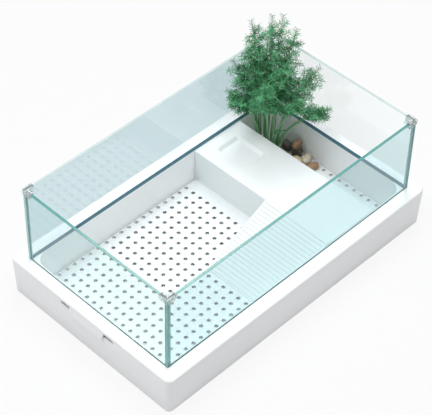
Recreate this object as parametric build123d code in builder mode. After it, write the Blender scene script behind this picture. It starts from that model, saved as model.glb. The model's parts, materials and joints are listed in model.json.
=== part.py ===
"""Turtle tank: a moulded white base with a deep well, a glass box on its rim, a perforated
floor tray, a basking platform with a ribbed ramp, loose stones and an artificial fern.

Millimetres, +X along the long side, +Y towards the back, +Z up.
The origin is the middle of the footprint at table level.
"""

import math
import os

from build123d import *

os.makedirs("parts", exist_ok=True)

# Glass box, bonded on the rim of the base
glass_length = 560.0
glass_width = 320.0
glass_height = 152.0
glass_thickness = 5.0
silicone_joint = 0.5
silicone_fillet = 3.0

# Moulded base: a skirt on the outside, a rim on top and a well in the middle
base_height = 77.0
rim_width_ends = 21.0
rim_width_sides = 24.0
skirt_draft = 3.5
base_corner = 12.0
rim_round = 3.0
skirt_wall = 3.0
rim_thickness = 3.5
foot_thickness = 3.0
foot_radius = 12.0
foot_sides = 16
foot_inset = 45.0
skirt_clearance = 1.0

well_land = 2.0
well_draft = 2.0
well_corner = 25.0
well_wall = 3.0
well_floor = 3.0
well_floor_round = 8.0
groove_depth = 1.5
groove_clearance = 0.3

stiffener_thickness = 2.5
stiffener_depth = 28.0
stiffeners_per_side = 5
stiffeners_per_end = 2
stiffener_pitch_side = 110.0
stiffener_pitch_end = 170.0

# Hand hold in each short end: a slot under the rim with a finger lip over its middle
hold_length = 120.0
hold_height = 8.0
hold_below_rim = 10.5
lip_length = 78.0
lip_reach = 5.0
lip_drop = 8.0
lip_thickness = 2.5
lip_end_taper = 8.0

# Perforated floor tray, lifted out for cleaning
sump_depth = 3.5
tray_thickness = 2.5
tray_gap = 1.0
tray_corner = 24.0
hole_radius = 2.9
hole_pitch = 17.0
hole_edge = 4.0
tray_leg_radius = 3.5
tray_legs_long = 5
tray_legs_wide = 3

# Basking platform: a deck level with the rim and a ribbed ramp. The planting trough lies
# between the deck and the right pane, and the ramp's width counts from the front pane
trough_length = 83.0
deck_length = 110.0
platform_wall = 3.0
platform_gap = 0.8
ramp_length = 137.0
ramp_width = 145.0
ramp_toe = 1.5
rib_count = 20
rib_width = 3.4
rib_height = 1.2
rib_end_gap = 3.0

# Food recess in the deck
recess_length = 68.0
recess_width = 52.0
recess_depth = 6.0
recess_slope = 5.0
recess_corner = 8.0
recess_from_back = 23.0
recess_from_left = 29.0

# Corner clips pushed on the top edge of the glass
clip_leg = 18.0
clip_depth = 8.0
clip_wall = 1.5
clip_clearance = 0.15
clip_tab = 8.0
clip_tab_drop = 4.0
clip_round = 2.0

# Artificial fern in the planting trough, placed from the outer faces of the right and back panes
fern_from_right = 52.0
fern_from_back = 47.0
fern_foot_width = 36.0
fern_foot_length = 66.0
fern_foot_height = 13.0
fern_foot_slope = 4.0
stem_radius = 1.3
stem_share = 0.34
plume_thickness = 0.38
frond_sections = 8
lean_power = 1.9

# Each frond: start across and along the foot, lean direction in degrees from +X,
# reach of the tip from its start, height of the tip above the table, widest half width
fronds = [
    (0.0, 2.0, 60.0, 4.0, 322.0, 10.0),
    (-5.0, 12.0, 128.0, 26.0, 308.0, 9.0),
    (5.0, -6.0, -50.0, 34.0, 300.0, 9.0),
    (-7.0, 1.0, 165.0, 48.0, 286.0, 9.0),
    (8.0, 8.0, 10.0, 34.0, 296.0, 8.0),
    (-2.0, -10.0, -110.0, 46.0, 268.0, 9.0),
    (2.0, 20.0, 75.0, 22.0, 276.0, 8.0),
    (-9.0, 15.0, 164.0, 60.0, 246.0, 9.0),
    (7.0, -16.0, -68.0, 74.0, 240.0, 9.0),
    (-8.0, -9.0, -150.0, 72.0, 232.0, 9.0),
    (-5.0, -19.0, -100.0, 86.0, 206.0, 9.0),
    (-10.0, 9.0, 172.0, 84.0, 200.0, 9.0),
    (3.0, -24.0, -78.0, 104.0, 176.0, 8.0),
    (-9.0, -22.0, -128.0, 92.0, 162.0, 8.0),
]

# Stones on the trough floor: distance from the outer faces of the right and back panes,
# length, width, height, turn in degrees, and how many stones it lies on
stones = [
    (23.0, 68.0, 26.0, 19.0, 17.0, 80.0, 0),
    (22.0, 92.0, 22.0, 18.0, 19.0, 100.0, 0),
    (46.0, 98.0, 25.0, 18.0, 15.0, 10.0, 0),
    (68.0, 94.0, 18.0, 15.0, 13.0, 60.0, 0),
    (24.0, 116.0, 27.0, 17.0, 14.0, 20.0, 0),
    (52.0, 118.0, 24.0, 17.0, 16.0, 150.0, 0),
    (28.0, 136.0, 25.0, 15.0, 13.0, 165.0, 0),
    (23.0, 92.0, 24.0, 17.0, 15.0, 15.0, 1),
    (50.0, 117.0, 22.0, 15.0, 13.0, 70.0, 1),
]
stone_sides = 8

# Sizes that follow from the ones above. The holes are square here, as large as the round ones
hole_side = hole_radius * math.sqrt(math.pi)
base_length = glass_length + 2 * rim_width_ends
base_width = glass_width + 2 * rim_width_sides
skirt_bottom = skirt_clearance
well_floor_top = foot_thickness + well_floor
groove_floor = base_height - groove_depth
glass_bottom = groove_floor + silicone_joint
glass_top = glass_bottom + glass_height
glass_inner_x = glass_length / 2 - glass_thickness
glass_inner_y = glass_width / 2 - glass_thickness
well_top_x = glass_inner_x - well_land
well_top_y = glass_inner_y - well_land
tray_top = well_floor_top + sump_depth + tray_thickness
tray_bottom = tray_top - tray_thickness
deck_top = base_height
deck_right = glass_length / 2 - trough_length
deck_left = deck_right - deck_length
ramp_foot = deck_left - ramp_length
ramp_back = ramp_width - glass_width / 2
fern_x = glass_length / 2 - fern_from_right
fern_y = glass_width / 2 - fern_from_back


def well_half(half_at_top, height):
    """Half size of the well at a height, from its half size at the rim."""
    share = (base_height - height) / (base_height - well_floor_top)
    return half_at_top - well_draft * share


def floor_round_inset(height):
    """How far the rounded foot of the well wall stands in at a height."""
    above_floor = height - well_floor_top
    if above_floor >= well_floor_round:
        return 0.0
    return well_floor_round - math.sqrt(well_floor_round**2 - (well_floor_round - above_floor) ** 2)


def skirt_half(half_at_top, height):
    """Half size of the skirt at a height, from its half size at the rim."""
    return half_at_top - skirt_draft * (base_height - height) / (base_height - skirt_bottom)


def drafted_block(half_size, bottom, top, corner, mode=Mode.ADD):
    """A rounded block whose half sizes along X and Y, at its top and bottom, come from two rules."""
    half_x, half_y = half_size(top)
    draft = half_x - half_size(bottom)[0]
    with BuildSketch(Plane(origin=(0, 0, top), z_dir=(0, 0, -1)), mode=Mode.PRIVATE) as section:
        RectangleRounded(2 * half_x, 2 * half_y, corner)
    angle = math.degrees(math.atan2(draft, top - bottom))
    extrude(section.sketch, amount=top - bottom, taper=angle, mode=mode)


def faceted_solid(rings):
    """Close a stack of rings of points, each with as many points, into a solid of flat faces."""
    faces = []
    count = len(rings[0])
    for low, high in zip(rings, rings[1:]):
        for side in range(count):
            after = (side + 1) % count
            faces.append(Face(Wire.make_polygon([low[side], low[after], high[after]])))
            faces.append(Face(Wire.make_polygon([low[side], high[after], high[side]])))
    faces.append(Face(Wire.make_polygon(rings[0][::-1])))
    faces.append(Face(Wire.make_polygon(rings[-1])))
    add(Solid(Shell(faces)))


def bounded_box(x_range, y_range, z_range, mode=Mode.ADD):
    """A box given by its low and high limits on each axis, in any order."""
    middle = [(a + b) / 2 for a, b in (x_range, y_range, z_range)]
    size = [abs(b - a) for a, b in (x_range, y_range, z_range)]
    with Locations(tuple(middle)):
        Box(*size, mode=mode)


def save(block, node):
    """Label a finished piece and write it."""
    block.part.label = node
    export_step(block.part, f"parts/{node}.step")


corners = [
    ("front_left", -1, -1),
    ("front_right", 1, -1),
    ("back_left", -1, 1),
    ("back_right", 1, 1),
]

# Space inside the well, with a rounded foot
def well_inside(height):
    """Half sizes of the well at a height."""
    return well_half(well_top_x, height), well_half(well_top_y, height)


def well_outside(height):
    """Half sizes of the outside of the well's wall at a height."""
    return well_half(well_top_x, height) + well_wall, well_half(well_top_y, height) + well_wall


def skirt_outside(height):
    """Half sizes of the base at a height."""
    return skirt_half(base_length / 2, height), skirt_half(base_width / 2, height)


def skirt_inside(height):
    """Half sizes of the inside of the skirt at a height."""
    return tuple(half - skirt_wall for half in skirt_outside(height))


with BuildPart() as well_space:
    drafted_block(well_inside, well_floor_top, base_height, well_corner)
    fillet(well_space.edges().group_by(Axis.Z)[0], well_floor_round)

# Moulded base
with BuildPart() as base_tub:
    drafted_block(skirt_outside, skirt_bottom, base_height, base_corner)
    fillet(base_tub.edges().group_by(Axis.Z)[-1], rim_round)
    hollow_top = base_height - rim_thickness
    drafted_block(skirt_inside, skirt_bottom, hollow_top, base_corner - skirt_wall, mode=Mode.SUBTRACT)
    drafted_block(well_outside, foot_thickness, hollow_top, well_corner + well_wall)
    # Stiffeners under the rim, between the skirt and the well
    for side in (-1, 1):
        for index in range(stiffeners_per_side):
            along = (index - (stiffeners_per_side - 1) / 2) * stiffener_pitch_side
            bounded_box(
                (along - stiffener_thickness / 2, along + stiffener_thickness / 2),
                (side * (well_top_y + well_wall / 2), side * (base_width / 2 - skirt_draft)),
                (hollow_top - stiffener_depth, hollow_top),
            )
        for index in range(stiffeners_per_end):
            along = (index - (stiffeners_per_end - 1) / 2) * stiffener_pitch_end
            bounded_box(
                (side * (well_top_x + well_wall / 2), side * (base_length / 2 - skirt_draft)),
                (along - stiffener_thickness / 2, along + stiffener_thickness / 2),
                (hollow_top - stiffener_depth, hollow_top),
            )
    add(well_space.part, mode=Mode.SUBTRACT)
    # Groove that the glass stands in
    with BuildSketch(Plane.XY.offset(base_height)):
        Rectangle(glass_length + 2 * groove_clearance, glass_width + 2 * groove_clearance)
        Rectangle(
            2 * (glass_inner_x - groove_clearance),
            2 * (glass_inner_y - groove_clearance),
            mode=Mode.SUBTRACT,
        )
    extrude(amount=-groove_depth, mode=Mode.SUBTRACT)
    # Hand holds
    hold_z = base_height - hold_below_rim
    hold_wall = skirt_half(base_length / 2, hold_z)
    for side in (-1, 1):
        cut_depth = side * (skirt_wall + skirt_draft)
        with BuildSketch(Plane.YZ.offset(side * (hold_wall - skirt_wall / 2))) as slot:
            with Locations((0, hold_z)):
                SlotOverall(hold_length, hold_height)
        extrude(slot.sketch, amount=cut_depth, both=True, mode=Mode.SUBTRACT)
        with BuildSketch(Plane.XZ.offset(-lip_length / 2)) as lip:
            with BuildLine():
                Polyline(
                    (side * (hold_wall - skirt_wall / 2), hold_z + hold_height / 2),
                    (side * (hold_wall - skirt_wall / 2), hold_z + hold_height / 2 + lip_thickness),
                    (side * hold_wall, hold_z + hold_height / 2 + lip_thickness),
                    (side * (hold_wall + lip_reach), hold_z - lip_drop + lip_thickness),
                    (side * (hold_wall + lip_reach), hold_z - lip_drop),
                    (side * (hold_wall + lip_reach - lip_thickness), hold_z - lip_drop),
                    close=True,
                )
            make_face()
        extrude(lip.sketch, amount=lip_length)
save(base_tub, "base_tub")

# Rubber feet under the floor of the well
for name, side_x, side_y in corners:
    with BuildPart() as foot:
        with BuildSketch():
            with Locations((side_x * (well_top_x - foot_inset), side_y * (well_top_y - foot_inset))):
                RegularPolygon(foot_radius, foot_sides)
        extrude(amount=foot_thickness)
        chamfer(foot.edges().group_by(Axis.Z)[0], foot_thickness / 3)
    save(foot, f"foot_{name}")

# Silicone bed in the groove
with BuildPart() as glass_bed:
    with BuildSketch(Plane.XY.offset(groove_floor)):
        Rectangle(glass_length, glass_width)
        Rectangle(2 * glass_inner_x, 2 * glass_inner_y, mode=Mode.SUBTRACT)
    extrude(amount=silicone_joint)
save(glass_bed, "glass_bed")

# Glass panes: front and back run the full length, the end panes stand between them
for node, side in (("glass_front", -1), ("glass_back", 1)):
    with BuildPart() as pane:
        bounded_box(
            (-glass_length / 2, glass_length / 2),
            (side * glass_inner_y, side * glass_width / 2),
            (glass_bottom, glass_top),
        )
    save(pane, node)
end_pane_half = glass_inner_y - silicone_joint
for node, side in (("glass_left", -1), ("glass_right", 1)):
    with BuildPart() as pane:
        bounded_box(
            (side * glass_inner_x, side * glass_length / 2),
            (-end_pane_half, end_pane_half),
            (glass_bottom, glass_top),
        )
    save(pane, node)

# Silicone in the four upright joints, with a bead in the inner corner
bead_top = glass_top - clip_depth - 1.0
for name, side_x, side_y in corners:
    with BuildPart() as bead:
        with BuildSketch(Plane.XY.offset(base_height)):
            with BuildLine():
                Polyline(
                    (side_x * glass_length / 2, side_y * glass_inner_y),
                    (side_x * (glass_inner_x - silicone_fillet), side_y * glass_inner_y),
                    (side_x * glass_inner_x, side_y * (glass_inner_y - silicone_fillet)),
                    (side_x * glass_inner_x, side_y * end_pane_half),
                    (side_x * glass_length / 2, side_y * end_pane_half),
                    close=True,
                )
            make_face()
        extrude(amount=bead_top - base_height)
    save(bead, f"bead_{name}")


def corner_angle(side_x, side_y, outer, inner, leg):
    """L of two strips round a glass corner, from an outer to an inner offset off its outer faces."""
    corner_x = glass_length / 2
    corner_y = glass_width / 2
    with Locations((side_x * (corner_x + outer - leg / 2), side_y * (corner_y + (outer - inner) / 2))):
        Rectangle(leg, outer + inner)
    with Locations((side_x * (corner_x + (outer - inner) / 2), side_y * (corner_y + outer - leg / 2))):
        Rectangle(outer + inner, leg)


# Clear clips on the glass corners, each with a tab that can carry a lid
for name, side_x, side_y in corners:
    slot_out = clip_clearance
    slot_in = glass_thickness + clip_clearance
    shell_out = slot_out + clip_wall
    shell_in = slot_in + clip_wall
    with BuildPart() as clip:
        with BuildSketch(Plane.XY.offset(glass_top - clip_depth)) as shell:
            corner_angle(side_x, side_y, shell_out, shell_in, clip_leg + clip_wall)
        extrude(amount=clip_depth + clip_wall)
        upright = clip.edges().filter_by(Axis.Z)
        outward = upright.sort_by(lambda edge: side_x * edge.center().X + side_y * edge.center().Y)
        fillet(outward[-1], clip_round)
        with BuildSketch(Plane.XY.offset(glass_top - clip_depth)) as slot:
            corner_angle(side_x, side_y, slot_out, slot_in, clip_leg + 2 * clip_wall)
        extrude(amount=clip_depth, mode=Mode.SUBTRACT)
        tab_x = glass_length / 2 - shell_in
        tab_y = glass_width / 2 - shell_in
        bounded_box(
            (side_x * (tab_x + clip_wall / 2), side_x * (tab_x - clip_tab)),
            (side_y * (tab_y + clip_wall / 2), side_y * (tab_y - clip_tab)),
            (glass_top - clip_tab_drop - clip_wall, glass_top - clip_tab_drop),
        )
    save(clip, f"clip_{name}")

# Perforated floor tray
tray_half_x = well_half(well_top_x, tray_bottom) - floor_round_inset(tray_bottom) - tray_gap
tray_half_y = well_half(well_top_y, tray_bottom) - floor_round_inset(tray_bottom) - tray_gap


def hole_is_open(x, y):
    """A hole is moulded only where the platform and its ramp leave the tray bare."""
    margin = hole_pitch / 2
    under_deck = deck_left - 1.5 * margin < x < deck_right + margin
    under_ramp = ramp_foot - hole_radius < x < deck_left and y < ramp_back
    at_corner = abs(x) > tray_half_x - margin and abs(y) > tray_half_y - margin
    return not (under_deck or under_ramp or at_corner)


# As many holes each way as the tray takes, in even numbers, so that its legs stand between them
hole_columns = 2 * int((tray_half_x - hole_edge) / hole_pitch + 0.5)
hole_rows = 2 * int((tray_half_y - hole_edge) / hole_pitch + 0.5)
hole_points = []
for column in range(hole_columns):
    for row in range(hole_rows):
        x = (column - (hole_columns - 1) / 2) * hole_pitch
        y = (row - (hole_rows - 1) / 2) * hole_pitch
        if hole_is_open(x, y):
            hole_points.append((x, y))
print("holes in the tray:", len(hole_points))

with BuildPart() as floor_tray:
    with BuildSketch(Plane.XY.offset(tray_bottom)):
        RectangleRounded(2 * tray_half_x, 2 * tray_half_y, tray_corner)
        with Locations(*hole_points):
            Rectangle(hole_side, hole_side, mode=Mode.SUBTRACT)
    extrude(amount=tray_thickness)
    leg_pitch_x = hole_pitch * round(2 * (tray_half_x - 2 * hole_pitch) / (tray_legs_long - 1) / hole_pitch)
    leg_pitch_y = hole_pitch * round(2 * (tray_half_y - 2 * hole_pitch) / (tray_legs_wide - 1) / hole_pitch)
    with BuildSketch(Plane.XY.offset(well_floor_top)):
        with GridLocations(leg_pitch_x, leg_pitch_y, tray_legs_long, tray_legs_wide):
            RegularPolygon(tray_leg_radius, 4)
    extrude(amount=sump_depth)
save(floor_tray, "floor_tray")

# Basking platform with its ramp
platform_top_y = well_top_y - platform_gap
platform_low_y = well_half(well_top_y, tray_top) - floor_round_inset(tray_top) - platform_gap
deck_width = deck_right - deck_left
deck_middle = (deck_left + deck_right) / 2
ramp_angle = math.atan2(deck_top - tray_top - ramp_toe, deck_left - ramp_foot)
ramp_drop = platform_wall / math.cos(ramp_angle)
ramp_front = -platform_low_y


def deck_block(inset, top, mode=Mode.ADD):
    """The deck's block or its hollow: from the tray up to a height, with every side inset."""
    sections = []
    for height, half in ((tray_top, platform_low_y), (top, platform_top_y)):
        with BuildSketch(Plane.XY.offset(height), mode=Mode.PRIVATE) as section:
            with Locations((deck_middle, 0)):
                Rectangle(deck_width - 2 * inset, 2 * (half - inset))
        sections.append(section.sketch)
    loft(sections, mode=mode)


def ramp_wedge(back, front, lowered, end, mode=Mode.ADD):
    """The ramp's wedge or its hollow, between two places along Y, with its slope lowered."""
    toe_run = max(0.0, lowered - ramp_toe) / math.tan(ramp_angle)
    toe_height = max(0.0, ramp_toe - lowered)
    with BuildSketch(Plane.XZ.offset(-back), mode=Mode.PRIVATE) as side:
        with BuildLine():
            points = [(ramp_foot + toe_run, tray_top)]
            if toe_height > 0:
                points.append((ramp_foot, tray_top + toe_height))
            points.append((deck_left, deck_top - lowered))
            if end > deck_left:
                points.append((end, deck_top - lowered))
            points.append((end, tray_top))
            Polyline(*points, close=True)
        make_face()
    extrude(side.sketch, amount=back - front, mode=mode)


with BuildPart() as basking_platform:
    deck_block(0.0, deck_top)
    ramp_wedge(ramp_back, ramp_front, 0.0, deck_left + platform_wall)
    deck_block(platform_wall, deck_top - platform_wall, mode=Mode.SUBTRACT)
    ramp_wedge(
        ramp_back - platform_wall,
        ramp_front + platform_wall,
        ramp_drop,
        deck_left,
        mode=Mode.SUBTRACT,
    )
    # Pocket that holds the food recess, under the deck
    recess_x = deck_left + recess_from_left + recess_width / 2
    recess_y = platform_top_y - recess_from_back - recess_length / 2
    bounded_box(
        (recess_x - recess_width / 2, recess_x + recess_width / 2),
        (recess_y - recess_length / 2, recess_y + recess_length / 2),
        (deck_top - recess_depth - platform_wall, deck_top - platform_wall),
    )
    recess_top = Plane(origin=(recess_x, recess_y, deck_top), z_dir=(0, 0, -1))
    with BuildSketch(recess_top, mode=Mode.PRIVATE) as recess:
        RectangleRounded(recess_width, recess_length, recess_corner)
    recess_angle = math.degrees(math.atan2(recess_slope, recess_depth))
    extrude(recess.sketch, amount=recess_depth, taper=recess_angle, mode=Mode.SUBTRACT)
    # Ribs across the ramp, square to its slope
    ramp_run = deck_left - ramp_foot
    rib_places = []
    for index in range(rib_count):
        share = (index + 0.7) / rib_count
        rib_places.append(
            Plane(
                origin=(
                    ramp_foot + share * ramp_run,
                    (ramp_back + ramp_front) / 2,
                    tray_top + ramp_toe + share * ramp_run * math.tan(ramp_angle),
                ),
                x_dir=(math.cos(ramp_angle), 0, math.sin(ramp_angle)),
                z_dir=(-math.sin(ramp_angle), 0, math.cos(ramp_angle)),
            )
        )
    with Locations(*rib_places):
        Box(rib_width, ramp_back - ramp_front - 2 * rib_end_gap, 2 * rib_height)
save(basking_platform, "basking_platform")

# Foot of the fern, standing on the tray
fern_foot_top = tray_top + fern_foot_height
with BuildPart() as fern_foot:
    foot_rings = []
    for height, inset in ((tray_top, 0.0), (fern_foot_top, fern_foot_slope)):
        half_x = fern_foot_width / 2 - inset
        half_y = fern_foot_length / 2 - inset
        cut = fern_foot_width / 4
        ring = []
        for side_x, side_y in ((1, 1), (-1, 1), (-1, -1), (1, -1)):
            along_x = (fern_x + side_x * (half_x - cut), fern_y + side_y * half_y, height)
            along_y = (fern_x + side_x * half_x, fern_y + side_y * (half_y - cut), height)
            ring += [along_y, along_x] if side_x == side_y else [along_x, along_y]
        foot_rings.append(ring)
    faceted_solid(foot_rings)
save(fern_foot, "fern_foot")


def frond_point(frond, share):
    """Point of a frond's middle line at a share of its length, from its foot to its tip."""
    start_x, start_y, lean, reach, tip_height, _ = frond
    outward = reach * share**lean_power
    return (
        fern_x + start_x + outward * math.cos(math.radians(lean)),
        fern_y + start_y + outward * math.sin(math.radians(lean)),
        fern_foot_top + (tip_height - fern_foot_top) * share,
    )


def frond_half_width(frond, share):
    """Half width of a frond: a bare stem, then a plume that swells and comes to a tip."""
    if share <= stem_share:
        return stem_radius
    along = (share - stem_share) / (1 - stem_share)
    swell = math.sin(math.pi * along**0.75)
    return stem_radius * (1 - along) + 0.6 * along + frond[5] * swell


def frond_plane(frond, share):
    """Plane square to a frond's middle line, with its X axis level."""
    lean = math.radians(frond[2])
    rise = frond[4] - fern_foot_top
    slope = frond[3] * lean_power * share ** (lean_power - 1)
    return Plane(
        origin=frond_point(frond, share),
        x_dir=(-math.sin(lean), math.cos(lean), 0),
        z_dir=(slope * math.cos(lean), slope * math.sin(lean), rise),
    )


# Fronds: a stem and a plume each, standing on the foot
for number, frond in enumerate(fronds, start=1):
    with BuildPart() as frond_block:
        rings = []
        for step in range(frond_sections):
            share = 0.0
            if step > 0:
                share = stem_share + (1 - stem_share) * (step - 1) / (frond_sections - 2)
            half = frond_half_width(frond, share)
            thick = max(half * plume_thickness, min(half, stem_radius))
            outline = [
                (half, 0),
                (half / 2, thick),
                (-half / 2, thick),
                (-half, 0),
                (-half / 2, -thick),
                (half / 2, -thick),
            ]
            plane = frond_plane(frond, share)
            rings.append([plane.from_local_coords((x, y, 0)) for x, y in outline])
        faceted_solid(rings)
    save(frond_block, f"frond_{number:02d}")

# Loose stones on the trough floor
for number, stone in enumerate(stones, start=1):
    from_right, from_back, length, width, height, turn, layer = stone
    place_x = glass_length / 2 - from_right
    place_y = glass_width / 2 - from_back
    below = 0.0
    if layer:
        nearest = min(
            (other for other in stones if not other[6]),
            key=lambda other: math.hypot(other[0] - from_right, other[1] - from_back),
        )
        below = nearest[4]
    across = math.radians(turn)
    with BuildPart() as pebble:
        rings = []
        for rise, spread in ((0.0, 0.5), (0.3, 0.96), (0.62, 0.94), (1.0, 0.42)):
            ring = []
            for side in range(stone_sides):
                angle = 2 * math.pi * side / stone_sides
                lump = spread * (1.0 + 0.07 * math.sin(2 * angle + number)) / 2
                along = lump * length * math.cos(angle)
                aside = lump * width * math.sin(angle)
                ring.append(
                    (
                        place_x + along * math.cos(across) - aside * math.sin(across),
                        place_y + along * math.sin(across) + aside * math.cos(across),
                        tray_top + below + rise * height,
                    )
                )
            rings.append(ring)
        faceted_solid(rings)
    save(pebble, f"pebble_{number}")
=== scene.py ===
"""Turtle tank dressed over its CAD frame: glass box, moulded base, tray, platform, stones and fern.

Metres in Blender, millimetres in the size fields, in the frame of the CAD model:
+X along the long side, +Y towards the back, +Z up.
"""

from __future__ import annotations

import json
import logging
import math
import random
from dataclasses import dataclass
from enum import Enum
from typing import Iterable, Sequence

import bmesh
import bpy
from mathutils import Matrix, Vector, noise

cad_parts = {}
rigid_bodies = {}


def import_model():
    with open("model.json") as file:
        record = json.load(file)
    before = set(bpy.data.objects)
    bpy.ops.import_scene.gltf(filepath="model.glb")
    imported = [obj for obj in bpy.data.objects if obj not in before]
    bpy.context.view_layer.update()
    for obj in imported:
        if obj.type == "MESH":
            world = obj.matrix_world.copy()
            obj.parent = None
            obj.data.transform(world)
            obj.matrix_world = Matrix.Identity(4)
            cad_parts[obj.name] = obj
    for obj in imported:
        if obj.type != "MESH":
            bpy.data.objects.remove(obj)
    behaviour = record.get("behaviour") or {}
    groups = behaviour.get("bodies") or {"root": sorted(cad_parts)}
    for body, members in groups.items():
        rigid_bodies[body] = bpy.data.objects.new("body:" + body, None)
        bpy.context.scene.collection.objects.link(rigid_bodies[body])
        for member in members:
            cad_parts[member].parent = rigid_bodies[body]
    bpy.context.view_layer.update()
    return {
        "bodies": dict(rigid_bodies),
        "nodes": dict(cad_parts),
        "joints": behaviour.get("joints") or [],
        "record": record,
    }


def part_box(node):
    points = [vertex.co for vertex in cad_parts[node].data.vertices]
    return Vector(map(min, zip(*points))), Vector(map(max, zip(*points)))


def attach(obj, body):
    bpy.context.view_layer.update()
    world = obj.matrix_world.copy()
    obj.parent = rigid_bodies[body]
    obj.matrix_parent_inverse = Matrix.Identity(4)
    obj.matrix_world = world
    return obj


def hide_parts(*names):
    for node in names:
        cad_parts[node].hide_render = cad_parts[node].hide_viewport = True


LOG = logging.getLogger("turtle_tank")
MM = 0.001
Colour = tuple[float, float, float]
Point = tuple[float, float, float]
Range = tuple[float, float]
Item = bpy.types.Object
Material = bpy.types.Material
Node = bpy.types.Node
Socket = bpy.types.NodeSocket
WHITE = (1.0, 1.0, 1.0, 1.0)
UP = Vector((0.0, 0.0, 1.0))
CORNERS = (("front_left", -1, -1), ("front_right", 1, -1), ("back_left", -1, 1), ("back_right", 1, 1))


class Body(str, Enum):
    """Bodies of the CAD model that the pieces ride on."""

    TANK = "tank"
    TRAY = "tray"
    PLATFORM = "platform"
    PLANT = "plant"
    PEBBLES = "pebbles"


class Slot(str, Enum):
    """Material slots of the record."""

    BASE = "base_plastic"
    INSERT = "insert_plastic"
    GLASS = "glass"
    SILICONE = "silicone"
    CLEAR = "clear_plastic"
    FOOT = "rubber_foot"
    FERN_BASE = "fern_base"
    LEAF = "fern_leaf"
    STONE = "stone"


class Canvas:
    """A node tree with short calls to add nodes and join them."""

    def __init__(self, tree: bpy.types.NodeTree) -> None:
        """Work on a tree."""
        self.tree = tree

    def add(self, kind: str, feeds: dict[str | int, object] | None = None, **settings: object) -> Node:
        """Add a node.

        Args:
            kind: Blender's name of the node type.
            feeds: Input name or number to a plain value, or to the socket that feeds it.
            settings: Properties of the node, set before its inputs.

        Returns:
            The new node.
        """
        node = self.tree.nodes.new(kind)
        for name, value in settings.items():
            setattr(node, name, value)
        for socket, value in (feeds or {}).items():
            if isinstance(value, bpy.types.NodeSocket):
                self.tree.links.new(value, node.inputs[socket])
            else:
                node.inputs[socket].default_value = value
        return node

    def math(self, operation: str, *values: object, clamp: bool = False) -> Socket:
        """One sum of sockets or plain numbers."""
        feeds = dict(enumerate(values))
        return self.add("ShaderNodeMath", feeds, operation=operation, use_clamp=clamp).outputs[0]

    def vector(self, x: object = 0.0, y: object = 0.0, z: object = 0.0) -> Socket:
        """A vector of sockets or plain numbers."""
        return self.add("ShaderNodeCombineXYZ", {"X": x, "Y": y, "Z": z}).outputs[0]

    def vectors(self, operation: str, first: Socket, second: Socket) -> Socket:
        """One sum of two vectors."""
        return self.add("ShaderNodeVectorMath", {0: first, 1: second}, operation=operation).outputs[0]

    def scaled(self, way: Socket, by: Socket) -> Socket:
        """A vector times a number."""
        return self.add("ShaderNodeVectorMath", {0: way, "Scale": by}, operation="SCALE").outputs[0]

    def ramp(self, value: Socket, low: float, high: float) -> Socket:
        """0 where a value is at its low limit, 1 at its high limit."""
        return self.add("ShaderNodeMapRange", {"Value": value, "From Min": low, "From Max": high}).outputs[0]

    def mix(self, share: Socket, low: object, high: object) -> Socket:
        """A colour between two others."""
        return self.add("ShaderNodeMix", {0: share, 6: low, 7: high}, data_type="RGBA").outputs[2]

    def blend(self, share: Socket, first: Node, second: Node) -> Node:
        """A shader between two others."""
        return self.add("ShaderNodeMixShader", {0: share, 1: first.outputs[0], 2: second.outputs[0]})


class Pattern(Canvas):
    """A shader node group with named inputs and outputs, built once and placed in many materials."""

    def __init__(self, name: str, inputs: dict[str, float | Colour], outputs: dict[str, str]) -> None:
        """Start an empty group.

        Args:
            name: Name of the group.
            inputs: Input name to its usual value; a tuple makes a colour.
            outputs: Output name to its socket type.
        """
        super().__init__(bpy.data.node_groups.new(name, "ShaderNodeTree"))
        for label, value in inputs.items():
            kind = "NodeSocketColor" if isinstance(value, tuple) else "NodeSocketFloat"
            socket = self.tree.interface.new_socket(label, in_out="INPUT", socket_type=kind)
            socket.default_value = (*value, 1.0) if isinstance(value, tuple) else value
        for label, kind in outputs.items():
            self.tree.interface.new_socket(label, in_out="OUTPUT", socket_type=kind)
        self.values = self.add("NodeGroupInput").outputs
        self.place = self.add("ShaderNodeTexCoord").outputs["Object"]

    def noise(self, scale: Socket, detail: float) -> Socket:
        """Soft noise over the object."""
        feeds = {"Vector": self.place, "Scale": scale, "Detail": detail}
        return self.add("ShaderNodeTexNoise", feeds).outputs["Fac"]

    def close(self, results: dict[str, Socket]) -> bpy.types.NodeTree:
        """Join the outputs and return the finished group."""
        self.add("NodeGroupOutput", dict(results))
        return self.tree


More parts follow.
